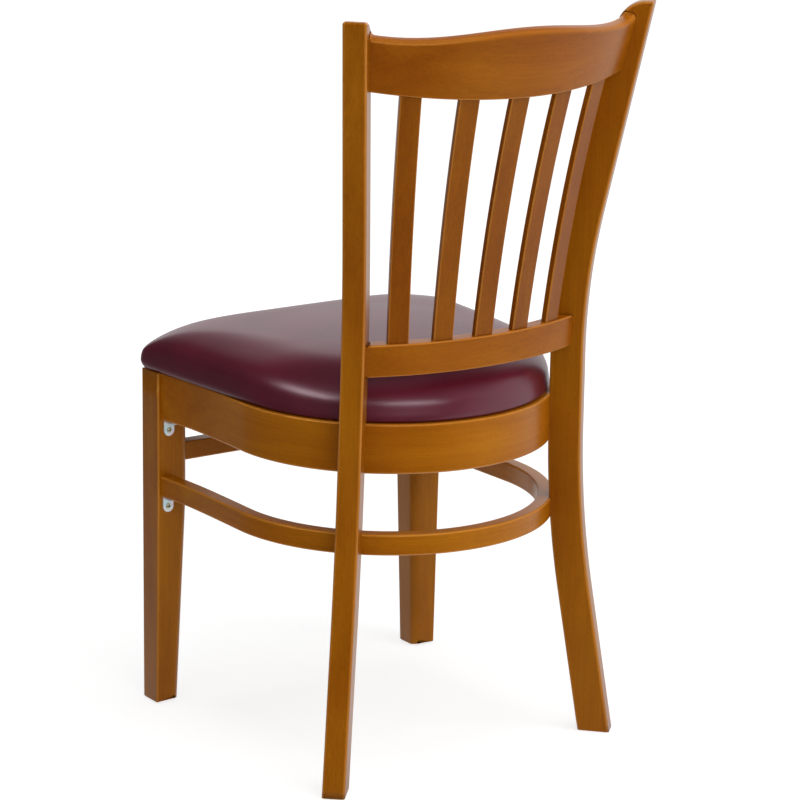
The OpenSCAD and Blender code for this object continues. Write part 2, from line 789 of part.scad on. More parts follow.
module brace() {
    // one plate lies under the ring, the other down the leg
    translate([0, 0, -brace_t]) linear_extrude(height = brace_t) brace_plate();
    mirror([0, 0, 1]) rotate([90, 0, 0]) mirror([0, 0, 1]) linear_extrude(height = brace_t) brace_plate();
}

module brace_screw(gap) {
    translate([0, 0, -brace_t - brace_head_h]) cylinder(h = brace_head_h, r1 = brace_head_r * 0.7, r2 = brace_head_r);
    translate([0, 0, -brace_t - brace_head_h / 2])
        cylinder(h = brace_screw_l + brace_head_h / 2, r = brace_screw_r + gap);
}

module brace_screw_up(gap) {
    translate([0, brace_hole, 0]) brace_screw(gap);
}

module brace_screw_in(gap) {
    translate([0, 0, -brace_hole]) rotate([90, 0, 0]) brace_screw(gap);
}

module ring_braces() {
    color(zinc) placed() for (side = [1, -1]) brace_at(side, ring_arm_x, ring_bottom_z) brace();
}

module stretcher_braces() {
    color(zinc) placed() for (side = [1, -1]) brace_at(side, stretcher_arm_x, stretcher_z) brace();
}

module brace_screws() {
    color(zinc) placed() for (side = [1, -1]) for (at = [[ring_arm_x, ring_bottom_z], [stretcher_arm_x, stretcher_z]])
        brace_at(side, at[0], at[1]) {
            brace_screw_up(0);
            brace_screw_in(0);
        }
}

// Dowels, each half in one piece and half in the other
// Distance of paired dowels above and below the middle of the seat frame
ring_dowel_rise = 12;
seat_rail_dowel_rise = 10;
// Height of the round stretcher's dowels above its middle, clear of the brace screws
stretcher_dowel_rise = 5;

module dowel(gap) {
    translate([0, 0, -dowel_l / 2 - gap]) cylinder(h = dowel_l + 2 * gap, r = dowel_r + gap, $fn = 32);
}

module ring_dowels_at(side) {
    on_side(side) for (rise = [-1, 1])
        translate([ring_arm_x, leg_back_y, ring_mid_z + rise * ring_dowel_rise]) rotate([90, 0, 0]) children();
}

module seat_rail_dowels_at(side) {
    on_side(side) for (rise = [-1, 1])
        translate([leg_inner_x, seat_rail_mid_y, ring_mid_z + rise * seat_rail_dowel_rise])
            rotate([0, 90, 0]) children();
}

module stretcher_dowel_at(side) {
    on_side(side) translate([stretcher_arm_x, leg_back_y, stretcher_mid_z + stretcher_dowel_rise])
        rotate([90, 0, 0]) children();
}

module front_stretcher_dowel_at(side) {
    on_side(side) translate([leg_inner_x, front_bar_mid_y, front_bar_z + front_bar_h / 2])
        rotate([0, 90, 0]) children();
}

module ring_dowels() {
    color(pale_wood) placed() for (side = [1, -1]) ring_dowels_at(side) dowel(0);
}

module seat_rail_dowels() {
    color(pale_wood) placed() for (side = [1, -1]) seat_rail_dowels_at(side) dowel(0);
}

module stretcher_ring_dowels() {
    color(pale_wood) placed() for (side = [1, -1]) stretcher_dowel_at(side) dowel(0);
}

module front_stretcher_dowels() {
    color(pale_wood) placed() for (side = [1, -1]) front_stretcher_dowel_at(side) dowel(0);
}

// Nail glides under the four feet
nail_r = 1.3;
nail_l = 18;
glide_edge = 1.5;
rear_foot = post_point(glide_h, 0.5, 0);

module glide_at(side, rear) {
    on_side(side)
        translate(rear ? [rear_foot[0], rear_foot[1], 0]
            : [front_half_w - foot_w / 2, leg_front_y + foot_d / 2, 0])
            children();
}

module glide() {
    rotate_extrude($fn = 40)
        polygon([[0, 0], [glide_r - glide_edge, 0], [glide_r, glide_edge], [glide_r, glide_h],
            [nail_r, glide_h], [nail_r, glide_h + nail_l - 2 * nail_r], [0, glide_h + nail_l]]);
}

module glide_bore() {
    translate([0, 0, glide_h - overrun]) cylinder(h = nail_l + overrun + glue_gap, r = nail_r + thread_gap);
}

module floor_glides() {
    color(glide_colour) placed() for (side = [1, -1]) for (rear = [true, false]) glide_at(side, rear) glide();
}

// The pad's outline, drawn in by a distance all round: the round back, then the two front corners
function pad_outline(inset) =
    let (
        r = pad_r - inset,
        s = pad_side_angle,
        front = pad_front_y + inset,
        c = max(pad_corner_r - inset, 0.2 * pad_corner_r),
        // centre of the front corner's round, on the sitter's left
        cy = front + c,
        cx = r * cos(s) + (r * sin(s) - cy) * tan(s) - c / cos(s),
        back = [for (i = [0:20]) let (a = s + (180 - 2 * s) * i / 20) [r * cos(a), r * sin(a)]],
        right = [for (i = [0:4]) let (a = 180 + s + (90 - s) * i / 4) [-cx + c * cos(a), cy + c * sin(a)]],
        left = [for (i = [4:-1:0]) [-right[i][0], right[i][1]]],
        mid_front = [for (i = [1:4]) [-cx + 2 * cx * i / 5, front]],
        right_side = [for (i = [1:2]) back[20] + (right[0] - back[20]) * i / 3],
        left_side = [for (i = [1:2]) left[4] + (back[0] - left[4]) * i / 3])
    concat(back, right_side, right, mid_front, left, left_side);

pad_points = len(pad_outline(0));

// The pad's surface as [inset, height] pairs from its side to its top
pad_roll_shares = [0, 0.03, 0.08, 0.16, 0.27, 0.42, 0.62, 0.85, 1];
function pad_profile(less) = [for (u = pad_roll_shares)
    [less + (pad_roll_w - less) * u,
     pad_z + pad_side_h + (pad_h - pad_side_h - less) * pad_round(u) * pad_swell(u)]];

// The pad's roll is a little fuller than a quarter round
pad_power = 2.35;
function pad_round(u) = pow(1 - pow(1 - u, pad_power), 1 / pad_power);

// The pad rises a little more towards its middle
function pad_swell(u) = 0.93 + 0.03 * u;
pad_top_shares = [0.75, 0.45, 0.18];

// The roll is lower round the two front corners
pad_corner_drop_share = 0.38;
pad_corner_reach = 70;
pad_corner_x = pad_r - pad_front_y * tan(pad_side_angle);
function corner_share(p) =
    1 - pad_corner_drop_share
        * pow(max(0, 1 - norm([abs(p[0]) - pad_corner_x, p[1] - pad_front_y]) / pad_corner_reach), 2);

function pad_ring(inset, z) =
    let (above = max(0, z - pad_z - pad_side_h))
    [for (p = pad_outline(inset)) [p[0], p[1], z - above * (1 - corner_share(p))]];
function pad_top_ring(share, less) =
    let (edge = pad_outline(pad_roll_w), full = pad_z + pad_h - less,
        low = pad_z + pad_side_h + (pad_h - pad_side_h - less) * pad_swell(1))
    [for (p = edge) [p[0] * share, pad_mid_y + (p[1] - pad_mid_y) * share, full - (full - low) * share * share]];

// Closed skin through a list of rings, each with n points, from a first to a last ring
function skin(rings, n) = [for (k = [0:rings - 2]) for (j = [0:n - 1])
    let (a = k * n + j, b = k * n + (j + 1) % n) each [[a, a + n, b], [b, a + n, b + n]]];

module pad_solid(less, bottom_z) {
    n = pad_points;
    side = [pad_ring(less, bottom_z)];
    roll = [for (p = pad_profile(less)) pad_ring(p[0], p[1])];
    top = [for (s = pad_top_shares) pad_top_ring(s, less)];
    rings = concat(side, roll, top);
    count = len(rings);
    points = concat([for (r = rings) each r],
        [[0, pad_mid_y, pad_z + pad_h - less], [0, pad_mid_y, bottom_z]]);
    pole = count * n;
    polyhedron(points = points, faces = concat(skin(count, n),
        [for (j = [0:n - 1]) [(count - 1) * n + j, pole, (count - 1) * n + (j + 1) % n]],
        [for (j = [0:n - 1]) [(j + 1) % n, pole + 1, j]]));
}

module seat_foam() {
    color(foam_colour) placed() pad_solid(cover_t + soft_gap, board_z + board_t);
}

// The cover is one skin: over the pad, round the board's edge and in under it
cover_tuck = [[1, 0], [0.35, 0.3]];
module seat_cover() {
    n = pad_points;
    function shell(less, low, tuck) = concat(
        [pad_ring(flange_w, low)],
        [for (t = tuck) pad_ring(less + pad_tuck * t[0], low + (pad_side_h - low + pad_z) * t[1])],
        [for (p = pad_profile(less)) pad_ring(p[0], p[1])],
        [for (s = pad_top_shares) pad_top_ring(s, less)]);
    outer = shell(0, pad_z, cover_tuck);
    inner = shell(cover_t, board_z, cover_tuck);
    count = len(outer);
    inner_first = count * n;
    points = concat([for (r = outer) each r], [for (r = inner) each r],
        [[0, pad_mid_y, pad_z + pad_h], [0, pad_mid_y, pad_z + pad_h - cover_t]]);
    pole = 2 * count * n;
    color(vinyl) placed() difference() {
        polyhedron(points = points, faces = concat(
            skin(count, n),
            [for (f = skin(count, n)) [f[0] + inner_first, f[2] + inner_first, f[1] + inner_first]],
            [for (j = [0:n - 1]) [(count - 1) * n + j, pole, (count - 1) * n + (j + 1) % n]],
            [for (j = [0:n - 1]) [inner_first + (count - 1) * n + (j + 1) % n, pole + 1,
                inner_first + (count - 1) * n + j]],
            [for (j = [0:n - 1]) let (k = (j + 1) % n) each [[j, k, inner_first + j],
                [k, inner_first + k, inner_first + j]]]));
        staple_holes();
        for (side = [1, -1]) seat_screws_at(side)
            cylinder(h = board_z - block_z + overrun, r = seat_screw_r + hole_gap);
    }
}

module seat_board() {
    color(pale_wood) placed() difference() {
        translate([0, 0, board_z]) linear_extrude(height = board_t) polygon(pad_outline(pad_tuck + cover_t + soft_gap));
        for (side = [1, -1]) seat_screws_at(side)
            cylinder(h = board_z - block_z + seat_screw_bite + hole_gap, r = seat_screw_r + thread_gap);
        staple_holes();
    }
}

// Staples that hold the cover's flange up to the board
staple_w = 10;
staple_wire = 0.9;
staple_l = 7;
staple_inset = 38;
staple_ring = pad_outline(staple_inset);

module staples_at() {
    for (i = [0:2:pad_points - 2]) {
        a = staple_ring[i];
        b = staple_ring[i + 1];
        translate([(a[0] + b[0]) / 2, (a[1] + b[1]) / 2, pad_z])
            rotate([0, 0, atan2(b[1] - a[1], b[0] - a[0])])
                children();
    }
}

module staple(gap) {
    // the crown is pulled flush into the cover, the two legs go up into the board
    below = gap > 0 ? overrun : 0;
    translate([-staple_w / 2 - gap, -staple_wire / 2 - gap, -below])
        cube([staple_w + 2 * gap, staple_wire + 2 * gap, staple_wire + gap + below]);
    for (x = [-1, 1])
        translate([x * (staple_w - staple_wire) / 2 - staple_wire / 2 - gap, -staple_wire / 2 - gap, 0])
            cube([staple_wire + 2 * gap, staple_wire + 2 * gap, staple_l + gap]);
}

module staple_holes() {
    staples_at() staple(thread_gap);
}

module cover_staples() {
    color(zinc) placed() staples_at() staple(0);
}

rear_post(1);  // rear_post_left
rear_post(-1);  // rear_post_right
crest_rail();
lower_back_rail();
back_slat(1);  // back_slat_1
back_slat(2);  // back_slat_2
back_slat(3);  // back_slat_3
back_slat(4);  // back_slat_4
back_slat(5);  // back_slat_5
seat_ring();
front_seat_rail();
front_leg(1);  // front_leg_left
front_leg(-1);  // front_leg_right
stretcher_ring();
front_stretcher();
front_corner_block(1);  // front_corner_block_left
front_corner_block(-1);  // front_corner_block_right
rear_seat_block(1);  // rear_seat_block_left
rear_seat_block(-1);  // rear_seat_block_right
seat_board();
seat_foam();
seat_cover();
cover_staples();
seat_screws();
seat_screw_washers();
block_screws();
post_bolts();
post_bolt_washers();
post_bolt_inserts();
stretcher_screws();
ring_braces();
stretcher_braces();
brace_screws();
ring_dowels();
seat_rail_dowels();
stretcher_ring_dowels();
front_stretcher_dowels();
floor_glides();
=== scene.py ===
import math

import bmesh
import bpy
import numpy as np
from mathutils import Matrix, Vector


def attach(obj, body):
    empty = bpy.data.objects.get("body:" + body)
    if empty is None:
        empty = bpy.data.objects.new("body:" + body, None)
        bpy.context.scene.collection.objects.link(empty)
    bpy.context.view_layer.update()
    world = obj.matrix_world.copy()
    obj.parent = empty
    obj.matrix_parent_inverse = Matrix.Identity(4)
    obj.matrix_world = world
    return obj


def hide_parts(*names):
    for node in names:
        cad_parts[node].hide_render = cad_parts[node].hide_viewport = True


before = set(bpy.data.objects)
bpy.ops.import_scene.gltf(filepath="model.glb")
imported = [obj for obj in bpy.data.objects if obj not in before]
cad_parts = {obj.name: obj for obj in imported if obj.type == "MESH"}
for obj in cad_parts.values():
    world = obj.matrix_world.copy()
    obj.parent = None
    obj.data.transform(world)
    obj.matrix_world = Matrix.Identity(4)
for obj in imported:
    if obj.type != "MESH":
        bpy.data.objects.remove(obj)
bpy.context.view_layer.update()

# Sizes in millimetres, as in part.scad, about the upright through the middle of the rings' round backs
MID_Y = 31.3582
CHAIR_H, HALF_W, TOP_Z, RUN = 889.0, 212.0, 422.5, 172.0
GLIDE_H = 1.5

# Seat ring and stretcher ring, with the roundings of their top and lower edges
RING_R, RING_H, RING_T, RING_FLARE, RING_ROUND = 200.5, 58.5, 20.0, 6.5, (3.0, 2.4)
LOW_Z, LOW_H, LOW_T, LOW_R, LOW_FLARE, LOW_ROUND = 268.5, 25.0, 18.0, 204.23, 3.5, (2.6, 2.6)
RING_Z = TOP_Z - RING_H
RING_STEPS = 289
# The rings' arms bow by the fourth power of the way along them, less a share of the way itself
ARM_POWER, ARM_RISE, ARM_DIP = 4.0, 1.7, 0.7

# Front legs, and the two straight bars between them
LEG_W, LEG_D, FOOT_W, FOOT_D, TAPER_Z, TAPER_EASE = 43.0, 38.0, 32.5, 33.0, 262.0, 12.0
LEG_ROUND, LEG_EDGE, FOOT_CHAMFER = 10.0, 2.6, 1.5
LEG_BACK, LEG_FRONT, LEG_IN = -RUN, -RUN - LEG_D, HALF_W - LEG_W
LEG_HEIGHTS = (GLIDE_H, GLIDE_H + FOOT_CHAMFER, 60, 130, 200, TAPER_Z - TAPER_EASE, TAPER_Z,
               TAPER_Z + TAPER_EASE, 330, 390, TOP_Z)
BAR_Z, BAR_H, BAR_T, BAR_ROUND, BAR_SEAT = 306.5, 23.0, 20.0, 2.4, 0.3
SEAT_RAIL_BACK = 3.0

# Rear posts: their bearing from the middle, their turn and lean, and the bends above and below the seat
POST_T, POST_D, POST_TOP_D, POST_R, POST_ROUND, POST_CORNER = 26.7, 38.9, 36.0, 218.45, 3.2, 3.0
BEARING, TURN, CANT = math.radians(44.8), math.radians(2.1), math.radians(1.1)
RAKE, SWEEP = (556.0, math.radians(12), 818.0), (-279.0, math.radians(9.3), 1235.0)
EAR_W, EAR_H, POST_STEPS, EAR_DEGREES = 28.0, 24.0, 74, 9
# Half of the boards' length lies between these, and is found by halving so many times
REACH_LEAST, REACH_MOST, HALVINGS = 120.0, 230.0, 36

# Crest and lower rail: radius, tilt and the middle of the lower edge; then their sections
CREST = (343.0, math.radians(15.8), np.array([0, 255.988, 796.675]))
RAIL = (437.0, math.radians(3.4), np.array([0, 194.077, 480.326]))
CREST_T, CREST_H, CREST_RISE, CREST_FILLET, CREST_TOP_X = 17.0, 61.5, 18.3, 5.0, 183.778
CREST_ROUND, CREST_END, CREST_END_STEPS, CREST_STEPS = (2.4, 2.4, 6.0, 6.0), 0.94, 8, 61
RAIL_T, RAIL_H, RAIL_ROUND, RAIL_STEPS, TENON_SEAT = 18.0, 37.5, 2.2, 49, 0.4

# Slats: section, bow, pitch at the rail and at the crest, and how deep they sit in each
SLAT_W, SLAT_T, SLAT_ROUND, SLAT_BOW = 24.8, 8.0, 1.8, 5.0
PITCH_LOW, PITCH_HIGH, SET_LOW, SET_HIGH, SLAT_OVERRUN, SLAT_STEPS = 54.0, 64.8, 7.5, 9.5, 0.02, 30

# Steel braces under the rings' arms: their places across and up, and their screws
BRACES, BRACE_HOLE, BRACE_T = ((197.0, 364.0), (198.73, 268.5)), 12.5, 1.8
HEAD_R, HEAD_H, SHANK_R, SHANK_L = 3.4, 2.2, 1.75, 12.0
# The screw recess: width, length, depth, and how deep a point must lie in it to get painted shade
RECESS_W, RECESS_L, RECESS_D, RECESS_SHADE_DEPTH = 1.2, 4.4, 1.3, 0.15
DOME_SEGMENTS, DOME_RINGS, SHANK_SIDES, SCREW_SEED = 36, 17, 20, 7

# Seat pad: where it starts, how high it is, its side, the skin, the board's top and the outline
PAD_Z, PAD_H, PAD_SIDE, COVER_T, BOARD_TOP = 422.7, 64.6, 12.7, 1.2, 434.0
PAD_R, PAD_ROLL, PAD_CORNER, PAD_FRONT, PAD_MID = 198.6, 70.5, 10.0, -215.0, -17.0
PAD_ANGLE = math.atan((HALF_W - PAD_R) / RUN)
PAD_CORNER_X = PAD_R - PAD_FRONT * math.tan(PAD_ANGLE)
CORNER_GROWS, CORNER_DROP, CORNER_REACH, BACK_FROM, BACK_OVER = 1.6, 0.34, 80.0, -20.0, 140.0
PAD_BACK_STEPS, PAD_CORNER_STEPS, PAD_FRONT_STEPS, PAD_SIDE_STEPS = 40, 8, 16, 8
FRONT_POWER, BACK_POWER, BACK_LEAN, ROLL_SHARE, ROLL_GROWS = 2.75, 2.05, 3.2, 0.895, 0.032
UNDER = ((46.0, 0.0), (24.0, 0.0), (12.0, 0.0), (7.5, 0.02), (5.2, 0.2), (3.6, 0.9), (2.3, 2.2),
         (1.2, 4.2), (0.3, 8.0))
ROLL = (0.0, 0.012, 0.03, 0.055, 0.09, 0.13, 0.18, 0.24, 0.31, 0.39, 0.48, 0.58, 0.7, 0.84, 1.0)
CROWN = (0.9, 0.8, 0.7, 0.6, 0.5, 0.4, 0.3, 0.2, 0.1)

# The cloth run that blows the skin up: how much smaller it starts, what is held, and how far a point may move
SKIN_START, FOAM_GAP, HELD_OVER, HELD_FADE = 1.0, 0.6, 8.0, 10.0
SWELL_LEAST, SWELL_MOST, SWELL_FRAMES, SWELL_PASSES, SWELL_KEPT, SWELL_SHARED = -0.5, 4.0, 20, 10, 0.4, 0.6
CLOTH = {"quality": 6, "use_pressure": True, "uniform_pressure_force": 4.0, "tension_stiffness": 25.0,
         "compression_stiffness": 25.0, "bending_stiffness": 1.5}

# The painted edge highlight, with the stain worn thin there too, is strongest on roundings of this size, and
# weaker on wider ones
EDGE_SHEEN_AND_WEAR_MOST = 2.4

# Stained wood's noises: scale along and across the grain, share of the wood's own shift, detail,
# roughness and distortion; for bands, fibres, flecks and clouds
GRAIN = (((2.2, 30.0, 30.0), 1.0, 3.0, 0.55, 0.6), ((9.0, 420.0, 420.0), 1.7, 3.0, 0.6, 0.2),
         ((190.0, 900.0, 900.0), 2.3, 2.0, 0.55, 0.4), ((6.0, 10.0, 10.0), 0.6, 2.0, 0.5, 0.0))
RING_MEAN_R, PLY_LAYER = 0.2, 0.0029

# The photograph's viewing angle: the eye, the way it looks, its roll, and its focal length in pixels
EYE, LOOK = (1.9776, (2778.6 - MID_Y) / 1000, 1.2881), (-0.56539, -0.78535, -0.25212)
EYE_ROLL, FOCAL_PX, PICTURE_PX, SENSOR = 0.0168, 2947.4, 800, 36.0

# From the white paper behind the chair towards the darker room, and where the dark starts and is full
TO_ROOM, FLOOR_DARK, ROOM_DARK, CEILING_DARK = (0.966, 0.26, 0.0), (-0.05, 0.55), (-0.45, 0.05), (0.45, 0.78)
# The floor's half width, the light of its own and the world's, and its glow from 0.5 m to 2.5 m out
FLOOR_HALF, FLOOR_LIT, WORLD_LIT, FLOOR_GLOW = 12, 0.08, 0.15, (0.5, 2.5, 0.78, 1.0)

# Lamps: bearing from +Y towards +X, angle above the seat, distance, size, watts, and the rays that miss them
LAMP_AIM = (0, 0, 0.45)
LAMPS = (("main", -28, 46, 3.0, (1.8, 1.4), 35, "visible_glossy"),
         ("strip", 17, 21, 3.0, (1.9, 0.6), 29, None),
         ("left", 90, 31, 3.0, (1.5, 0.6), 30, "visible_diffuse"),
         ("left_fill", 70, 40, 3.0, (1.6, 1.0), 9, "visible_glossy"),
         ("side", -66, 12, 3.2, (2.2, 2.2), 12, "visible_glossy"),
         ("top", 0, 88, 2.6, (2.0, 2.0), 42, "visible_glossy"))

scene = bpy.context.scene


# Meshes
def to_frame(points):
    """Millimetres about the rings' middle to metres in the shared frame."""
    return (np.asarray(points, float) - [0, MID_Y, 0]) / 1000.0


def mesh_object(name, verts, faces, smooth=True, edge=None):
    """A mesh in metres; edge says how far each point is up a rounded edge, where a highlight and worn stain
    are painted.
    """
    mesh = bpy.data.meshes.new(name)
    mesh.from_pydata([tuple(v) for v in verts], [], faces)
    if edge is not None:
        mesh.attributes.new("edge", "FLOAT", "POINT").data.foreach_set("value", edge)
    bm = bmesh.new()
    bm.from_mesh(mesh)
    bmesh.ops.remove_doubles(bm, verts=bm.verts, dist=1e-6)
    bmesh.ops.recalc_face_normals(bm, faces=bm.faces)
    for f in bm.faces:
        f.smooth = smooth
    bm.to_mesh(mesh)
    bm.free()
    obj = bpy.data.objects.new(name, mesh)
    scene.collection.objects.link(obj)
    return obj


def weighted(obj):
    """Keep flat faces flat beside their rounded edges."""
    mod = obj.modifiers.new("normals", "WEIGHTED_NORMAL")
    mod.weight = 100
    mod.keep_sharp = True
    return obj


def finish_piece(obj, slot, material, *nodes):
    """Paint a piece, ride it on the one body and hide the CAD nodes that it stands for."""
    obj.data.materials.clear()
    obj.data.materials.append(material)
    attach(obj, "root")
    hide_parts(*nodes)


def chain_normals(chain, towards, by_share):
    """Ways in from one outline chain; straight up or down where it runs along a share of a path."""
    if by_share:
        return np.column_stack([np.zeros(len(chain)), np.sign(towards[:, 1] - chain[:, 1])])
    d = np.gradient(chain, axis=0)
    n = np.stack([-d[:, 1], d[:, 0]], 1)
    n /= np.linalg.norm(n, axis=1)[:, None] + 1e-12
    flip = np.sum(n * (towards - chain), 1) < 0
    n[flip] *= -1
    return n


def slab(name, a, b, place, half, radii, seg=4, by_share=False):
    """A board between two outline chains, with its long edges rounded.

    radii are for chain a near and far, then chain b near and far.
    """
    a, b = np.asarray(a, float), np.asarray(b, float)
    n = len(a)
    na, nb = chain_normals(a, b, by_share), chain_normals(b, a, by_share)
    layers, edge = [], []
    quarter = np.linspace(0, math.pi / 2, seg + 1)
    for side, angles, r_a, r_b in ((-1, quarter, radii[0], radii[2]), (1, quarter[::-1], radii[1], radii[3])):
        for t in angles:
            ring = []
            for chain, normal, r in ((a, na, r_a), (b, nb, r_b)):
                inset = r * (1 - math.sin(t))
                depth = side * (half - r * (1 - math.cos(t)))
                ring.append(place(chain + normal * inset, np.full(n, depth)))
                # Painted edge highlight and worn stain: strongest halfway round each rounding, weaker on wide
                # roundings
                edge.append(np.full(n, math.sin(2 * t) * min(1.0, EDGE_SHEEN_AND_WEAR_MOST / r)))
            layers.append(ring)
    verts = np.concatenate([np.concatenate(ring) for ring in layers])
    at = lambda layer, which, i: (2 * layer + which) * n + i
    last = len(layers) - 1
    faces = []
    for i in range(n - 1):
        faces.append((at(0, 0, i), at(0, 0, i + 1), at(0, 1, i + 1), at(0, 1, i)))
        faces.append((at(last, 0, i), at(last, 1, i), at(last, 1, i + 1), at(last, 0, i + 1)))
        for k in range(last):
            faces.append((at(k, 0, i), at(k + 1, 0, i), at(k + 1, 0, i + 1), at(k, 0, i + 1)))
            faces.append((at(k, 1, i), at(k, 1, i + 1), at(k + 1, 1, i + 1), at(k + 1, 1, i)))
    for i in (0, n - 1):
        for k in range(last):
            faces.append((at(k, 0, i), at(k, 1, i), at(k + 1, 1, i), at(k + 1, 0, i)))
    return weighted(mesh_object(name, to_frame(verts), faces, edge=np.concatenate(edge)))


def bend(h, knee, angle, r):
    """How far a line has leaned at height h, past a knee with a radius."""
    tangent = r * math.tan(angle / 2)
    if h <= knee - tangent:
        return 0.0
    if h < knee + tangent * math.cos(angle):
        return r - math.sqrt(r * r - (h - knee + tangent) ** 2)
    return (h - knee) * math.tan(angle)


def post_line(z):
    """A post's middle: raked back above the seat, swept back to the foot."""
    return bend(z, *RAKE) + bend(-z, *SWEEP)


def post_depth(z):
    """A post's depth, which falls slowly from the seat to the top."""
    thin = TOP_Z + POST_T
    return POST_D - (POST_D - POST_TOP_D) * max(0.0, (z - thin) / (CHAIR_H - thin))


def post_axes():
    """The left post's place at the seat, and its ways out and in, seen from above."""
    sin, cos = math.sin(BEARING - TURN), math.cos(BEARING - TURN)
    base = POST_R * np.array([math.sin(BEARING), math.cos(BEARING)])
    return base, np.array([sin, cos]), np.array([-cos, sin])


def post_place(side):
    """Where a post's outline lies: turned to its bearing and canted a little."""
    base, out, inward = post_axes()

    def place(p, v):
        above = p[:, 1] - TOP_Z
        w = v * math.cos(CANT) + above * math.sin(CANT)
        xy = base + p[:, :1] * out + w[:, None] * inward
        z = TOP_Z + above * math.cos(CANT) - v * math.sin(CANT)
        return np.column_stack([side * xy[:, 0], xy[:, 1], np.maximum(z, GLIDE_H)])

    return place


def post(side, name):
    """A rear post, with a broad rounded ear on the inside of its top and a small corner behind."""
    half = lambda z: post_depth(z) / 2
    zs = np.linspace(GLIDE_H - 1, CHAIR_H - EAR_H, POST_STEPS)
    front = [(post_line(z) - half(z), z) for z in zs]
    back = [(post_line(z) + half(z), z) for z in zs]
    for deg in range(EAR_DEGREES, 91, EAR_DEGREES):
        a = math.radians(deg)
        z = CHAIR_H - EAR_H + EAR_H * math.sin(a)
        front.append((post_line(z) - half(z) + EAR_W * (1 - math.cos(a)), z))
        if deg < 45:
            z = CHAIR_H - EAR_H + (EAR_H - POST_CORNER) * deg / 45
            back.append((post_line(z) + half(z), z))
        else:
            c = math.radians((deg - 45) * 2)
            z = CHAIR_H - POST_CORNER + POST_CORNER * math.sin(c)
            back.append((post_line(z) + half(z) - POST_CORNER * (1 - math.cos(c)), z))
    return slab(name, front, back, post_place(side), POST_T / 2, (POST_ROUND,) * 4)


def inner_reach(points_at, low, high):
    """Where each line of a board meets the left post's inner face, by halving."""
    base, _, inward = post_axes()
    lo, hi = np.full(low.shape, REACH_LEAST), np.full(low.shape, REACH_MOST)
    for _ in range(HALVINGS):
        mid = (lo + hi) / 2
        p = points_at(mid, low, high)
        v = ((p[:, :2] - base) @ inward) * math.cos(CANT) - (p[:, 2] - TOP_Z) * math.sin(CANT)
        inside = v > POST_T / 2 - TENON_SEAT
        lo, hi = np.where(inside, mid, lo), np.where(inside, hi, mid)
    return lo


def board_at(board, x, up, inset):
    """Points of a bent board: x across, up its face, and inset from its outer face."""
    r, tilt, start = board
    rr = r - inset
    deep = -(rr - np.sqrt(rr * rr - x * x)) - inset
    return start + np.column_stack([x, up * math.sin(tilt) + deep * math.cos(tilt),
                                    up * math.cos(tilt) - deep * math.sin(tilt)])


def board_place(board, thick):
    """Where a board's outline lies: bent, and cut to length at the posts' inner faces."""
    def place(p, d):
        inset = d + thick / 2
        reach = inner_reach(lambda x, up, s: board_at(board, x, up, s), p[:, 1], inset)
        return board_at(board, p[:, 0] * reach, p[:, 1], inset)

    return place


def crest_top(share):
    """The crest's wavy top edge, with a small fillet up to each post."""
    x = abs(share) * CREST_TOP_X
    past = max(0.0, x - (CREST_TOP_X - CREST_FILLET))
    lift = CREST_FILLET - math.sqrt(max(0.0, CREST_FILLET ** 2 - past ** 2))
    return CREST_H + CREST_RISE * (1 + math.cos(math.pi * x / CREST_TOP_X)) / 2 + lift


def leg(side, name):
    """A front leg: straight outside and in front, tapered on the other two faces, chamfered at the foot."""
    share = lambda z: min(1.0, max(0.0, (z - GLIDE_H) / (TAPER_Z - GLIDE_H)))
    chop = lambda z: FOOT_CHAMFER * max(0.0, 1 - (z - GLIDE_H) / FOOT_CHAMFER)
    width = lambda z: FOOT_W + (LEG_W - FOOT_W) * share(z)
    depth = lambda z: FOOT_D + (LEG_D - FOOT_D) * share(z)
    outer = [(HALF_W - chop(z), z) for z in LEG_HEIGHTS]
    inner = [(HALF_W - width(z) + chop(z), z) for z in LEG_HEIGHTS]

    def place(p, d):
        deep = np.array([depth(z) for z in p[:, 1]])
        cut = np.array([chop(z) for z in p[:, 1]])
        e = d + LEG_D / 2
        y = np.where(e > LEG_D / 2, LEG_FRONT + deep - cut - (LEG_D - e), LEG_FRONT + cut + e)
        return np.column_stack([side * p[:, 0], y, p[:, 1]])

    return slab(name, outer, inner, place, LEG_D / 2, (LEG_EDGE, LEG_EDGE, LEG_EDGE, LEG_ROUND), seg=6)


def bar_between_legs(name, y, z, high):
    """A straight bar across the front, its middle at depth y."""
    xs = np.linspace(-LEG_IN - BAR_SEAT, LEG_IN + BAR_SEAT, 9)
    place = lambda p, d: np.column_stack([p[:, 0], y + d, p[:, 1]])
    return slab(name, [(x, z) for x in xs], [(x, z + high) for x in xs], place, BAR_T / 2, (BAR_ROUND,) * 4)


def pad_outline(inset):
    """The pad's outline as part.scad has it, with corners that grow rounder towards the crown."""
    r = PAD_R - inset
    s = PAD_ANGLE
    front = PAD_FRONT + inset
    c = PAD_CORNER + CORNER_GROWS * min(inset, PAD_ROLL)
    cy = front + c
    cx = r * math.cos(s) + (r * math.sin(s) - cy) * math.tan(s) - c / math.cos(s)
    back = [(r * math.cos(a), r * math.sin(a)) for a in np.linspace(s, math.pi - s, PAD_BACK_STEPS + 1)]
    right = [(-cx + c * math.cos(a), cy + c * math.sin(a))
             for a in np.linspace(math.pi + s, 1.5 * math.pi, PAD_CORNER_STEPS + 1)]
    left = [(-x, y) for x, y in right[::-1]]
    mid = [(-cx + 2 * cx * t, front) for t in np.linspace(0, 1, PAD_FRONT_STEPS + 1)[1:-1]]
    down = lambda p, q: [(p[0] + (q[0] - p[0]) * t, p[1] + (q[1] - p[1]) * t)
                         for t in np.linspace(0, 1, PAD_SIDE_STEPS + 1)[1:-1]]
    return np.array(back + down(back[-1], right[0]) + right + mid + left + down(left[-1], back[0]))


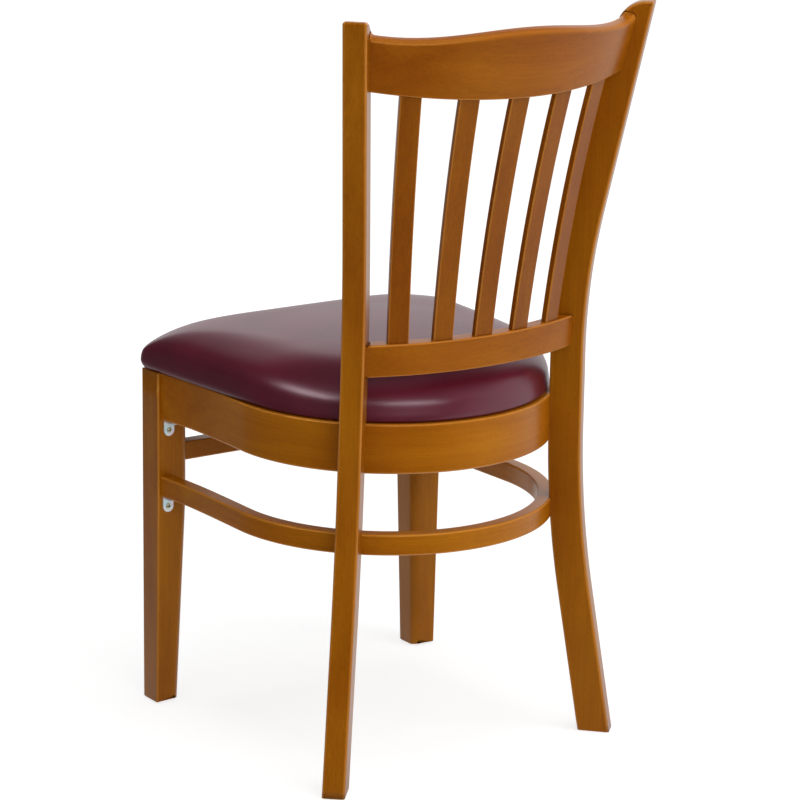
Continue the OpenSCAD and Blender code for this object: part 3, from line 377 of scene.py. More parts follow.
def corner_share(x, y):
    """How much of the full height is left near a front corner."""
    near = np.maximum(0, 1 - np.hypot(np.abs(x) - PAD_CORNER_X, y - PAD_FRONT) / CORNER_REACH)
    return 1 - CORNER_DROP * near ** 2


def backness(y):
    """0 along the front of the pad, 1 round its back, which is rounder in the roll."""
    t = np.clip((y - BACK_FROM) / BACK_OVER, 0, 1)
    return t * t * (3 - 2 * t)


def cover_mesh(name):
    """The cover's outer skin, open under the board, where its edge is turned in."""
    base, full = PAD_Z + PAD_SIDE, PAD_H - PAD_SIDE - SKIN_START
    rings = []
    for inset, z in UNDER:
        o = pad_outline(inset)
        lean = BACK_LEAN * backness(o[:, 1]) * z / PAD_SIDE
        o *= (1 - lean / np.hypot(o[:, 0], o[:, 1]))[:, None]
        rings.append(np.column_stack([o, np.full(len(o), PAD_Z + z)]))
    for u in ROLL:
        o = pad_outline(SKIN_START * min(1.0, 4 * u) + PAD_ROLL * u)
        back = backness(o[:, 1])
        power = FRONT_POWER + (BACK_POWER - FRONT_POWER) * back
        high = full * (1 - (1 - u) ** power) ** (1 / power) * (ROLL_SHARE + ROLL_GROWS * u)
        o *= (1 - BACK_LEAN * back * (1 - u) / np.hypot(o[:, 0], o[:, 1]))[:, None]
        rings.append(np.column_stack([o, base + high * corner_share(o[:, 0], o[:, 1])]))
    edge = rings[-1]
    for share in CROWN:
        dome = base + full - (base + full - edge[:, 2]) * share * share
        rings.append(np.column_stack([edge[:, 0] * share, PAD_MID + (edge[:, 1] - PAD_MID) * share, dome]))
    n = len(edge)
    verts = np.concatenate(rings + [np.array([[0, PAD_MID, base + full]])])
    faces = [(k * n + j, k * n + (j + 1) % n, (k + 1) * n + (j + 1) % n, (k + 1) * n + j)
             for k in range(len(rings) - 1) for j in range(n)]
    last = (len(rings) - 1) * n
    faces += [(last + j, last + (j + 1) % n, last + n) for j in range(n)]
    obj = mesh_object(name, to_frame(verts), faces)
    if sum(p.normal.z * p.area for p in obj.data.polygons) < 0:
        obj.data.flip_normals()
    return obj


def eased(values, edges, passes):
    """Average each point's value with its neighbours' a few times over."""
    count = np.bincount(edges.ravel(), minlength=len(values))
    for _ in range(passes):
        total = np.zeros(len(values))
        np.add.at(total, edges[:, 0], values[edges[:, 1]])
        np.add.at(total, edges[:, 1], values[edges[:, 0]])
        values = SWELL_KEPT * values + SWELL_SHARED * total / np.maximum(count, 1)
    return values


def swollen(obj):
    """Blow the skin up by a short cloth run, with its lower edge held and no point moving too far."""
    points = obj.data.vertices
    start = np.array([v.co[:] for v in points])
    held = obj.vertex_groups.new(name="held")
    for v in points:
        share = min(1.0, max(0.0, (PAD_Z + PAD_SIDE + HELD_OVER - v.co.z * 1000) / HELD_FADE))
        if share:
            held.add([v.index], share, "REPLACE")
    cloth = obj.modifiers.new("cloth", "CLOTH")
    cloth.settings.vertex_group_mass = held.name
    cloth.settings.effector_weights.gravity = 0.0
    for key, value in CLOTH.items():
        setattr(cloth.settings, key, value)
    for frame_no in range(1, SWELL_FRAMES + 1):
        scene.frame_set(frame_no)
    shape = obj.evaluated_get(bpy.context.evaluated_depsgraph_get()).to_mesh()
    move = np.array([v.co[:] for v in shape.vertices]) - start
    obj.modifiers.remove(cloth)
    scene.frame_set(1)
    normals = np.array([v.normal[:] for v in points])
    out = np.clip(np.sum(move * normals, axis=1) * 1000, SWELL_LEAST, SWELL_MOST)
    edges = np.array([e.vertices[:] for e in obj.data.edges])
    out = eased(out, edges, SWELL_PASSES)
    for v, co in zip(points, start + normals * out[:, None] / 1000):
        v.co = co
    obj.vertex_groups.clear()


def foam_under(skin, name):
    """The foam that fills the skin above the board, a little smaller than it."""
    n = len(pad_outline(0))
    skin.data.update()
    gap = COVER_T + FOAM_GAP
    verts = [np.array(v.co - v.normal * gap / 1000) for v in skin.data.vertices][len(UNDER) * n:]
    low = [np.array([v[0], v[1], BOARD_TOP / 1000]) for v in verts[:n]]
    verts = low + verts
    faces = [(k * n + j, k * n + (j + 1) % n, (k + 1) * n + (j + 1) % n, (k + 1) * n + j)
             for k in range(len(verts) // n - 1) for j in range(n)]
    last = (len(verts) // n - 1) * n
    faces += [(last + j, last + (j + 1) % n, len(verts) - 1) for j in range(n)]
    faces.append(tuple(range(n - 1, -1, -1)))
    return mesh_object(name, verts, faces)


# Node trees
class Net:
    """A few short words for building a node tree."""

    def __init__(self, tree):
        self.tree = tree

    def node(self, kind, **props):
        n = self.tree.nodes.new(kind)
        for key, value in props.items():
            setattr(n, key, value)
        return n

    def link(self, a, b):
        self.tree.links.new(a, b)

    def put(self, kind, inputs, take=0, **props):
        """One output of a node with its inputs by name or number; a list is linked into one joining input."""
        n = self.node(kind, **props)
        for key, value in inputs.items():
            for one in value if isinstance(value, list) else [value]:
                if isinstance(one, bpy.types.NodeSocket):
                    self.link(one, n.inputs[key])
                else:
                    n.inputs[key].default_value = one
        return n.outputs[take]

    def math(self, op, *values):
        return self.put("ShaderNodeMath", dict(enumerate(values)), operation=op)

    def vector(self, op, inputs, take=0):
        return self.put("ShaderNodeVectorMath", inputs, take, operation=op)

    def xyz(self, x=0.0, y=0.0, z=0.0):
        return self.put("ShaderNodeCombineXYZ", {0: x, 1: y, 2: z})

    def split(self, vector):
        n = self.node("ShaderNodeSeparateXYZ")
        self.link(vector, n.inputs[0])
        return n.outputs

    def here(self):
        """A point's place in metres, in the shared frame."""
        return self.node("ShaderNodeTexCoord").outputs["Object"]

    def own(self, label):
        """A number that the mesh keeps at each of its points."""
        return self.node("ShaderNodeAttribute", attribute_name=label).outputs["Fac"]

    def noise(self, vector, scale, detail=2.0, rough=0.5, distort=0.0, take="Fac"):
        return self.put("ShaderNodeTexNoise", {"Vector": vector, "Scale": scale, "Detail": detail,
                                               "Roughness": rough, "Distortion": distort}, take)

    def smooth(self, value, low, high, start=0.0, end=1.0):
        """A value eased from start to end while it goes from low to high."""
        return self.put("ShaderNodeMapRange", {0: value, 1: low, 2: high, 3: start, 4: end},
                        interpolation_type="SMOOTHSTEP")

    def ramp(self, fac, *stops):
        n = self.node("ShaderNodeValToRGB")
        el = n.color_ramp.elements
        while len(el) < len(stops):
            el.new(0.5)
        for e, (pos, col) in zip(el, stops):
            e.position = pos
            e.color = col
        self.link(fac, n.inputs[0])
        return n.outputs[0]

    def mix(self, share, a, b, blend="MIX"):
        return self.put("ShaderNodeMix", {0: share, 6: a, 7: b}, 2, data_type="RGBA", blend_type=blend)

    def bump(self, height, strength, distance, shader):
        normal = self.put("ShaderNodeBump", {"Height": height, "Strength": strength, "Distance": distance})
        self.link(normal, shader.inputs["Normal"])

    def by_ray(self, lighting, seen, mirrored):
        """One look for the light on the object, one for the camera, and one for gloss and glass."""
        path = self.node("ShaderNodeLightPath").outputs
        shine = self.math("MAXIMUM", path["Is Glossy Ray"], path["Is Transmission Ray"])
        plain = self.put("ShaderNodeMixShader", {0: path["Is Camera Ray"], 1: lighting, 2: seen})
        return self.put("ShaderNodeMixShader", {0: shine, 1: plain, 2: mirrored})


# Geometry Nodes: the slats, the two bent rings and the brace screws
class Maker(Net):
    """The same few words for a Geometry Nodes tree, whose sizes are its named inputs."""

    def __init__(self, name, **kinds):
        super().__init__(bpy.data.node_groups.new(name, "GeometryNodeTree"))
        face = self.tree.interface
        face.new_socket("Geometry", in_out="INPUT", socket_type="NodeSocketGeometry")
        for label, kind in kinds.items():
            face.new_socket(label.replace("_", " "), in_out="INPUT", socket_type="NodeSocket" + kind)
        face.new_socket("Material", in_out="INPUT", socket_type="NodeSocketMaterial")
        face.new_socket("Geometry", in_out="OUTPUT", socket_type="NodeSocketGeometry")
        self.given = self.node("NodeGroupInput").outputs

    def place(self):
        """A point's x, y and z in the tree's own mesh."""
        return self.split(self.node("GeometryNodeInputPosition").outputs[0])

    def noted(self, shape, label, value):
        """The shape, with a number kept at each of its points."""
        return self.put("GeometryNodeStoreNamedAttribute", {"Geometry": shape, "Name": label, "Value": value},
                        data_type="FLOAT", domain="POINT")

    def marked(self, label, kind):
        """What a mark of the starting mesh keeps under this label."""
        return self.put("GeometryNodeInputNamedAttribute", {"Name": label}, data_type=kind)

    def board_section(self, wide, high, round_top, round_low):
        """A rectangle with rounded corners; "edge" is 1 in the middle of each rounding, where the wood gets a
        painted highlight and worn stain.
        """
        x, y = self.place()[:2]
        top = self.math("GREATER_THAN", y, 0.0)
        r = self.math("MULTIPLY_ADD", top, self.math("SUBTRACT", round_top, round_low), round_low)
        box = self.put("GeometryNodeCurvePrimitiveQuadrilateral", {"Width": wide, "Height": high})
        rounded = self.put("GeometryNodeFilletCurve", {"Curve": box, "Radius": r, "Count": 4}, mode="POLY")
        past = []
        for at, size in ((x, wide), (y, high)):
            flat = self.math("SUBTRACT", self.math("MULTIPLY", size, 0.5), r)
            past.append(self.math("MAXIMUM", self.math("SUBTRACT", self.math("ABSOLUTE", at), flat), 0.0))
        edge = self.math("MULTIPLY", self.math("MULTIPLY", *past), 2.0)
        edge = self.math("DIVIDE", edge, self.math("MULTIPLY", r, r))
        return self.noted(rounded, "edge", edge)

    def swept(self, section, start, end, steps):
        """A section drawn along a straight line, with its ends closed."""
        line = self.put("GeometryNodeCurvePrimitiveLine", {"Start": start, "End": end})
        line = self.put("GeometryNodeResampleCurve", {"Curve": line, "Count": steps})
        return self.put("GeometryNodeCurveToMesh", {"Curve": line, "Profile Curve": section,
                                                    "Fill Caps": True})

    def end(self, shape):
        """Close the tree: smooth, realised, and in the material that it is given."""
        shape = self.put("GeometryNodeSetShadeSmooth", {"Geometry": shape})
        shape = self.put("GeometryNodeRealizeInstances", {"Geometry": shape})
        shape = self.put("GeometryNodeSetMaterial", {"Geometry": shape, "Material": self.given["Material"]})
        self.link(shape, self.node("NodeGroupOutput").inputs[0])
        return self.tree


def bent_ring_tree():
    """A straight board, bent by rule: half a turn round the back, and two arms that flare out to the legs."""
    m = Maker("bent_ring", Outer_Radius="Float", Thickness="Float", Height="Float", Bottom="Float",
              Flare="Float", Arm_Length="Float", Top_Rounding="Float", Low_Rounding="Float", Steps="Int")
    g = m.given
    section = m.board_section(g["Thickness"], g["Height"], g["Top Rounding"], g["Low Rounding"])
    board = m.swept(section, (-1, 0, 0), (2, 0, 0), g["Steps"])
    s, deep, up = m.place()
    arm = m.math("MAXIMUM", m.math("MAXIMUM", m.math("MULTIPLY", s, -1.0), m.math("SUBTRACT", s, 1.0)), 0.0)
    turn = m.math("MULTIPLY", m.math("MINIMUM", m.math("MAXIMUM", s, 0.0), 1.0), math.pi)
    rho = m.math("SUBTRACT", g["Outer Radius"], m.math("ADD", deep, m.math("MULTIPLY", g["Thickness"], 0.5)))
    bow = m.math("SUBTRACT", m.math("MULTIPLY", m.math("POWER", arm, ARM_POWER), ARM_RISE),
                 m.math("MULTIPLY", arm, ARM_DIP))
    x = m.math("MULTIPLY", m.math("MULTIPLY_ADD", bow, g["Flare"], rho), m.math("COSINE", turn))
    back = m.math("MULTIPLY", rho, m.math("SINE", turn))
    y = m.math("SUBTRACT", m.math("SUBTRACT", back, m.math("MULTIPLY", arm, g["Arm Length"])), MID_Y / 1000)
    z = m.math("ADD", g["Bottom"], m.math("ADD", up, m.math("MULTIPLY", g["Height"], 0.5)))
    bent = m.put("GeometryNodeSetPosition", {"Geometry": board, "Position": m.xyz(x, y, z)})
    return m.end(bent)


def slat_row_tree():
    """One bowed slat of unit length, set on the marks of a row, each with its own lean and length."""
    m = Maker("slat_row", Width="Float", Thickness="Float", Rounding="Float", Bow="Float", Overrun="Float",
              Steps="Int", Slat_Number="Int")
    g = m.given
    section = m.board_section(g["Width"], g["Thickness"], g["Rounding"], g["Rounding"])
    one = m.swept(section, m.xyz(z=m.math("MULTIPLY", g["Overrun"], -1.0)),
                  m.xyz(z=m.math("ADD", g["Overrun"], 1.0)), g["Steps"])
    up = m.place()[2]
    swing = m.math("POWER", m.math("MULTIPLY_ADD", up, 2.0, -1.0), 2.0)
    bow = m.math("MULTIPLY", m.math("SUBTRACT", swing, 1.0), g["Bow"])
    one = m.put("GeometryNodeSetPosition", {"Geometry": one, "Offset": m.xyz(y=bow)})
    chosen = m.put("FunctionNodeCompare", {2: m.node("GeometryNodeInputIndex").outputs[0],
                                           3: m.math("SUBTRACT", g["Slat Number"], 1.0)},
                   data_type="INT", operation="EQUAL")
    mark = m.put("GeometryNodeSeparateGeometry", {"Geometry": g["Geometry"], "Selection": chosen},
                 domain="POINT")
    lean = m.put("FunctionNodeEulerToRotation", {0: m.marked("lean", "FLOAT_VECTOR")})
    row = m.put("GeometryNodeInstanceOnPoints", {"Points": mark, "Instance": one, "Rotation": lean,
                                                 "Scale": m.xyz(1.0, 1.0, m.marked("long", "FLOAT"))})
    return m.end(row)


def brace_screw_tree():
    """A domed screw with a crossed recess, set on each mark, facing its way and turned to its own angle."""
    m = Maker("brace_screws", Head_Radius="Float", Head_Height="Float", Recess_Width="Float",
              Recess_Length="Float", Recess_Depth="Float", Shank_Radius="Float", Shank_Length="Float",
              Seed="Int")
    g = m.given
    r, h = g["Head Radius"], g["Head Height"]
    ball = m.put("GeometryNodeMeshUVSphere", {"Segments": DOME_SEGMENTS, "Rings": DOME_RINGS, "Radius": r})
    flat = m.xyz(1.0, 1.0, m.math("DIVIDE", h, r))
    dome = m.put("GeometryNodeTransform", {"Geometry": ball, "Scale": flat})

    def block(size, z):
        cube = m.put("GeometryNodeMeshCube", {"Size": size})
        return m.put("GeometryNodeTransform", {"Geometry": cube, "Translation": m.xyz(z=z)})

    # the second recess block is a little smaller, because faces in one plane spoil the cut
    wide, long, deep = g["Recess Width"], g["Recess Length"], g["Recess Depth"]
    cross = block(m.xyz(long, wide, m.math("MULTIPLY", deep, 2.0)), h)
    second = block(m.xyz(wide, m.math("MULTIPLY", long, 0.99), m.math("MULTIPLY", deep, 1.9)), h)
    below = block(m.vector("SCALE", {0: m.xyz(r, r, r), 3: 4.0}), m.math("MULTIPLY", r, -2.0))
    head = m.put("GeometryNodeMeshBoolean", {"Mesh 1": dome, "Mesh 2": [cross, second, below]},
                 operation="DIFFERENCE")
    head = m.put("GeometryNodeMergeByDistance", {"Geometry": head, "Distance": 0.00001})
    x, y, z = m.place()
    away = m.math("ADD", m.math("MULTIPLY", x, x), m.math("MULTIPLY", y, y))
    away = m.math("DIVIDE", away, m.math("MULTIPLY", r, r))
    skin = m.math("MULTIPLY", h, m.math("SQRT", m.math("MAXIMUM", m.math("SUBTRACT", 1.0, away), 0.0)))
    # Painted shade: points sunk into the recess are marked to be darkened
    recess_shaded = m.math("GREATER_THAN", m.math("SUBTRACT", skin, z), RECESS_SHADE_DEPTH / 1000)
    head = m.noted(head, "recess", recess_shaded)
    shank = m.put("GeometryNodeMeshCylinder", {"Vertices": SHANK_SIDES, "Radius": g["Shank Radius"],
                                               "Depth": g["Shank Length"]})
    down = m.math("MULTIPLY", g["Shank Length"], -0.5)
    shank = m.put("GeometryNodeTransform", {"Geometry": shank, "Translation": m.xyz(z=down)})
    screw = m.put("GeometryNodeJoinGeometry", {0: [head, shank]})
    out = m.put("FunctionNodeAlignRotationToVector", {"Vector": m.marked("facing", "FLOAT_VECTOR")}, axis="Z")
    screws = m.put("GeometryNodeInstanceOnPoints", {"Points": g["Geometry"], "Instance": screw,
                                                    "Rotation": out})
    spin = m.put("FunctionNodeRandomValue", {"Min": (0, 0, 0), "Max": (0, 0, math.pi / 2), "Seed": g["Seed"]},
                 data_type="FLOAT_VECTOR")
    return m.end(m.put("GeometryNodeRotateInstances", {"Instances": screws, "Rotation": spin}))


def marks(spots, **notes):
    """A mesh of loose points, in millimetres, with what the tree needs to know at each."""
    mesh = bpy.data.meshes.new("marks")
    mesh.from_pydata([tuple(p) for p in to_frame(spots)] if len(spots) else [], [], [])
    for label, values in notes.items():
        values = np.asarray(values, float)
        kind, key = ("FLOAT", "value") if values.ndim == 1 else ("FLOAT_VECTOR", "vector")
        mesh.attributes.new(label, kind, "POINT").data.foreach_set(key, values.ravel())
    return mesh


def grown(name, tree, start, **sizes):
    """Run a tree on its marks, and keep the plain mesh that it makes."""
    obj = bpy.data.objects.new(name, start)
    scene.collection.objects.link(obj)
    mod = obj.modifiers.new("grow", "NODES")
    mod.node_group = tree
    for socket in tree.interface.items_tree:
        label = socket.name.replace(" ", "_")
        if socket.in_out == "INPUT" and label in sizes:
            mod[socket.identifier] = sizes[label]
    mesh = bpy.data.meshes.new_from_object(obj.evaluated_get(bpy.context.evaluated_depsgraph_get()))
    obj.modifiers.remove(mod)
    obj.data = mesh
    return obj


def slat_marks():
    """Where each slat leaves the lower rail, how it leans, and how long it is up to the crest."""
    spots, lean, length = [], [], []
    for place_no in (2, 1, 0, -1, -2):
        low = board_at(RAIL, np.array([place_no * PITCH_LOW]), RAIL_H, SET_LOW)[0]
        high = board_at(CREST, np.array([place_no * PITCH_HIGH]), 0.0, SET_HIGH)[0]
        turn = (math.asin(low[0] / RAIL[0]) + math.asin(high[0] / CREST[0])) / 2
        run = high - low
        long = float(np.linalg.norm(run))
        side_run = run[0] * math.cos(turn) - run[1] * math.sin(turn)
        back_run = run[0] * math.sin(turn) + run[1] * math.cos(turn)
        way = (Matrix.Rotation(-turn, 3, "Z") @ Matrix.Rotation(-math.atan(back_run / run[2]), 3, "X")
               @ Matrix.Rotation(math.asin(side_run / long), 3, "Y"))
        spots.append(low)
        lean.append(way.to_euler()[:])
        length.append(long / 1000)
    return spots, lean, length


# Materials
def new_material(name):
    """A new material, its tree, and its one Principled shader."""
    mat = bpy.data.materials.new(name)
    mat.use_nodes = True
    mat.node_tree.nodes.clear()
    net = Net(mat.node_tree)
    shader = net.node("ShaderNodeBsdfPrincipled")
    net.link(shader.outputs[0], net.node("ShaderNodeOutputMaterial").inputs[0])
    return mat, net, shader


def lin(r, g, b):
    """A colour given as it looks on a screen, 0 to 255."""
    f = lambda c: c / 12.92 if c <= 0.04045 else ((c + 0.055) / 1.055) ** 2.4
    return (f(r / 255), f(g / 255), f(b / 255), 1.0)


def deeper(colour, share):
    """A colour times a share, which may be more than 1."""
    return tuple(c * share for c in colour[:3]) + (1,)


def grain_vector(net, along):
    """Object coordinates turned so that x runs along the grain; for a ring, round it."""
    x, y, z = net.split(net.here())
    if along == "z":
        return net.xyz(z, x, y)
    if along == "x":
        return net.xyz(x, y, z)
    y = net.math("ADD", y, MID_Y / 1000)
    turn = net.math("ARCTAN2", x, net.math("MAXIMUM", y, 0.0001))
    round_it = net.math("SUBTRACT", net.math("MULTIPLY", turn, RING_MEAN_R), net.math("MINIMUM", y, 0.0))
    from_middle = net.math("SQRT", net.math("ADD", net.math("MULTIPLY", x, x), net.math("MULTIPLY", y, y)))
    return net.xyz(round_it, from_middle, z)


def stretched(net, vector, scale, offset=0.0):
    """A vector scaled, and moved along so that no two woods share a pattern."""
    return net.put("ShaderNodeMapping", {"Vector": vector, "Scale": scale,
                                         "Location": (offset, offset * 0.37, offset * 0.71)})


def stained_wood(name, along, shift, green=1.0, depth=1.0):
    """Beech under an amber stain: soft bands along the grain, fibres, the short flecks of its rays, and a
    painted highlight with worn stain on its roundings.
    """
    mat, net, shader = new_material(name)
    v = grain_vector(net, along)
    bands, fibres, flecks, clouds = (net.noise(stretched(net, v, scale, shift * share), 1.0, *look)
                                     for scale, share, *look in GRAIN)
    tone = lambda r, g, b: deeper(lin(r, g * green, b), depth)
    base = net.ramp(bands, (0.30, tone(136, 70, 3)), (0.52, tone(152, 83, 4)), (0.72, tone(166, 96, 7)))
    stain = net.ramp(clouds, (0.40, tone(136, 66, 3)), (0.62, tone(152, 86, 4)))
    base = net.mix(0.45, base, stain)
    streak = net.ramp(fibres, (0.35, (0.84, 0.80, 0.74, 1)), (0.62, (1.08, 1.07, 1.05, 1)))
    base = net.mix(0.6, base, streak, "MULTIPLY")
    fleck = net.ramp(flecks, (0.30, (0.66, 0.60, 0.50, 1)), (0.40, (1, 1, 1, 1)),
                     (0.60, (1, 1, 1, 1)), (0.70, (1.35, 1.42, 1.6, 1)))
    base = net.mix(0.55, base, fleck, "MULTIPLY")
    # Painted highlight on the roundings, with the stain worn thin there: a lighter colour mixed in by the
    # edge mask
    edge_sheen_and_wear = net.math("MULTIPLY", net.own("edge"), net.math("MULTIPLY_ADD", clouds, 0.5, 0.28))
    base = net.mix(edge_sheen_and_wear, base, lin(206, 136, 60))
    net.link(base, shader.inputs["Base Color"])
    net.link(net.math("MULTIPLY_ADD", bands, 0.10, 0.26), shader.inputs["Roughness"])
    shader.inputs["Specular IOR Level"].default_value = 0.5
    shader.inputs["Specular Tint"].default_value = (1.0, 0.58, 0.16, 1)
    height = net.math("ADD", net.math("MULTIPLY", fibres, 0.6), net.math("MULTIPLY", flecks, 0.7))
    net.bump(height, 0.12, 0.0003, shader)
    return mat


def bare_wood(name, tone, along, plies=False):
    """Unfinished wood inside the seat; plies are plywood's layers on its edges."""
    mat, net, shader = new_material(name)
    v = grain_vector(net, along)
    bands = net.noise(stretched(net, v, (3.0, 40.0, 40.0)), 1.0, 4.0, 0.6, 0.7)
    fibres = net.noise(stretched(net, v, (12.0, 500.0, 500.0)), 1.0)
    dark = deeper(tone, 0.78)
    base = net.ramp(bands, (0.3, dark), (0.7, tone))
    if plies:
        layer = net.math("SINE", net.math("MULTIPLY", net.split(v)[2], 2 * math.pi / PLY_LAYER))
        base = net.mix(net.math("MULTIPLY_ADD", layer, 0.15, 0.15), base, dark)
    base = net.mix(net.math("MULTIPLY", fibres, 0.4), base, dark)
    net.link(base, shader.inputs["Base Color"])
    shader.inputs["Roughness"].default_value = 0.75
    net.bump(fibres, 0.25, 0.0004, shader)
    return mat


def coated_vinyl(name):
    """Vinyl with a fine pebble grain, a slow change of tone and a smooth, glossy skin."""
    mat, net, shader = new_material(name)
    v = net.here()
    wander = net.vector("SCALE", {0: net.noise(v, 420.0, take="Color"), 3: 0.0012})
    wandered = net.vector("ADD", {0: v, 1: wander})
    pebbles = net.put("ShaderNodeTexVoronoi", {"Vector": wandered, "Scale": 820.0}, "Distance", feature="F1")
    fine = net.noise(v, 500.0, 2.0, 0.6)
    base = net.ramp(net.noise(v, 14.0, 3.0), (0.35, lin(80, 11, 31)), (0.65, lin(94, 15, 39)))
    base = net.mix(net.math("MULTIPLY", pebbles, 0.35), base, lin(68, 8, 23))
    net.link(base, shader.inputs["Base Color"])
    net.link(net.math("MULTIPLY_ADD", fine, 0.06, 0.30), shader.inputs["Roughness"])
    shader.inputs["Specular IOR Level"].default_value = 0.66
    shader.inputs["Specular Tint"].default_value = (1.0, 0.90, 0.97, 1)
    height = net.math("ADD", net.math("MULTIPLY", pebbles, 0.8), net.math("MULTIPLY", fine, 0.3))
    net.bump(height, 0.07, 0.0003, shader)
    return mat


def metal(name, colour, rough, metallic=1.0, tints=None):
    """Plated or turned metal; a screw's "recess" gets painted shade, and tints are the faint colours of zinc
    plating.
    """
    mat, net, shader = new_material(name)
    v = net.here()
    fine = net.noise(v, 900.0, 2.0, 0.6)
    spots = net.noise(v, 160.0, 3.0, 0.6)
    base = net.mix(net.math("MULTIPLY", spots, 0.5), colour, deeper(colour, 0.78))
    if tints:
        base = net.mix(0.7, base, net.ramp(net.noise(v, 75.0, 1.0), *zip((0.36, 0.5, 0.64), tints)))
    # Painted shade in a screw's recess: near black mixed in by the recess mark
    base = net.mix(net.math("MULTIPLY", net.own("recess"), 0.85), base, lin(24, 22, 18))
    net.link(base, shader.inputs["Base Color"])
    shader.inputs["Metallic"].default_value = metallic
    net.link(net.math("MULTIPLY_ADD", fine, 0.16, rough), shader.inputs["Roughness"])
    net.bump(fine, 0.06, 0.0002, shader)
    return mat


def mottled(name, dark, light, rough, scale, bump):
    """One noise for colour, roughness and bump, as in foam and moulded nylon."""
    mat, net, shader = new_material(name)
    n = net.noise(net.here(), scale, 4.0, 0.6)
    net.link(net.ramp(n, (0.35, dark), (0.65, light)), shader.inputs["Base Color"])
    net.link(net.math("MULTIPLY_ADD", n, 0.1, rough), shader.inputs["Roughness"])
    net.bump(n, bump, 0.0004, shader)
    return mat


WOOD_Z = stained_wood("stained_wood_upright", "z", 1.3, 1.04, 0.91)
WOOD_SLAT = stained_wood("stained_wood_slats", "z", 5.9, 0.96, 0.70)
WOOD_X = stained_wood("stained_wood_across", "x", 4.1, 0.99, 0.88)
WOOD_RING = stained_wood("stained_wood_bent", "ring", 7.7, 1.06, 1.12)
VINYL = coated_vinyl("vinyl_burgundy")
ZINC = metal("zinc_plate", lin(222, 233, 238), 0.34, metallic=0.55,
             tints=(lin(196, 226, 234), lin(226, 230, 222), lin(228, 206, 226)))
STEEL = metal("screw_steel", lin(212, 206, 176), 0.26, metallic=0.8)
BRASS = metal("turned_brass", lin(190, 158, 92), 0.28)
BLOCK_WOOD = bare_wood("sawn_block_wood", lin(205, 176, 134), "x")
DOWEL_WOOD = bare_wood("dowel_wood", lin(214, 188, 150), "z")
PLY = bare_wood("plywood_layers", lin(206, 174, 128), "x", plies=True)
FOAM = mottled("seat_foam_cells", lin(222, 205, 150), lin(236, 222, 176), 0.85, 900.0, 0.5)
NYLON = mottled("nylon_brown", lin(44, 36, 30), lin(56, 47, 40), 0.42, 500.0, 0.15)

# Wooden pieces
finish_piece(post(1, "post_left_wood"), "stained_wood", WOOD_Z, "rear_post_left")
finish_piece(post(-1, "post_right_wood"), "stained_wood", WOOD_Z, "rear_post_right")

shares = np.concatenate([np.linspace(-1, -CREST_END, CREST_END_STEPS)[:-1],
                         np.linspace(-CREST_END, CREST_END, CREST_STEPS),
                         np.linspace(CREST_END, 1, CREST_END_STEPS)[1:]])
crest = slab("crest_rail_wood", [(t, 0.0) for t in shares], [(t, crest_top(t)) for t in shares],
             board_place(CREST, CREST_T), CREST_T / 2, CREST_ROUND, seg=6, by_share=True)
finish_piece(crest, "stained_wood", WOOD_X, "crest_rail")
shares = np.linspace(-1, 1, RAIL_STEPS)
rail = slab("lower_back_rail_wood", [(t, 0.0) for t in shares], [(t, RAIL_H) for t in shares],
            board_place(RAIL, RAIL_T), RAIL_T / 2, (RAIL_ROUND,) * 4, by_share=True)
finish_piece(rail, "stained_wood", WOOD_X, "lower_back_rail")
slat_row = slat_row_tree()
spots, lean, length = slat_marks()
for i in range(1, 6):
    slat = grown(f"slat_{i}_wood", slat_row, marks(spots, lean=lean, long=length), Width=SLAT_W / 1000,
                 Thickness=SLAT_T / 1000, Rounding=SLAT_ROUND / 1000, Bow=SLAT_BOW / 1000,
                 Overrun=SLAT_OVERRUN, Steps=SLAT_STEPS, Slat_Number=i, Material=WOOD_SLAT)
    finish_piece(weighted(slat), "stained_wood", WOOD_SLAT, f"back_slat_{i}")
bent_ring = bent_ring_tree()
for name, node, r, thick, flare, z, high, (round_top, round_low) in (
        ("seat_ring_wood", "seat_ring", RING_R, RING_T, RING_FLARE, RING_Z, RING_H, RING_ROUND),
        ("stretcher_ring_wood", "stretcher_ring", LOW_R, LOW_T, LOW_FLARE, LOW_Z, LOW_H, LOW_ROUND)):
    ring = grown(name, bent_ring, marks([]), Outer_Radius=r / 1000, Thickness=thick / 1000,
                 Height=high / 1000, Bottom=z / 1000, Flare=flare / 1000, Arm_Length=RUN / 1000,
                 Top_Rounding=round_top / 1000, Low_Rounding=round_low / 1000, Steps=RING_STEPS,
                 Material=WOOD_RING)
    finish_piece(weighted(ring), "stained_wood", WOOD_RING, node)
finish_piece(leg(1, "leg_left_wood"), "stained_wood", WOOD_Z, "front_leg_left")
finish_piece(leg(-1, "leg_right_wood"), "stained_wood", WOOD_Z, "front_leg_right")
finish_piece(bar_between_legs("front_stretcher_wood", LEG_FRONT + LEG_D / 2, BAR_Z, BAR_H),
             "stained_wood", WOOD_X, "front_stretcher")
finish_piece(bar_between_legs("front_seat_rail_wood", LEG_FRONT + SEAT_RAIL_BACK + BAR_T / 2, RING_Z, RING_H),
             "stained_wood", WOOD_X, "front_seat_rail")

# Cushion: the skin is blown up over the board, and the foam fills it
cushion = cover_mesh("seat_cushion")
swollen(cushion)
foam = foam_under(cushion, "seat_foam_core")
cushion.modifiers.new("round", "SUBSURF").levels = 1
cushion.modifiers["round"].render_levels = 1
skin = cushion.modifiers.new("skin", "SOLIDIFY")
skin.thickness, skin.offset = COVER_T / 1000, -1.0
finish_piece(cushion, "vinyl", VINYL, "seat_cover")
finish_piece(foam, "foam", FOAM, "seat_foam")

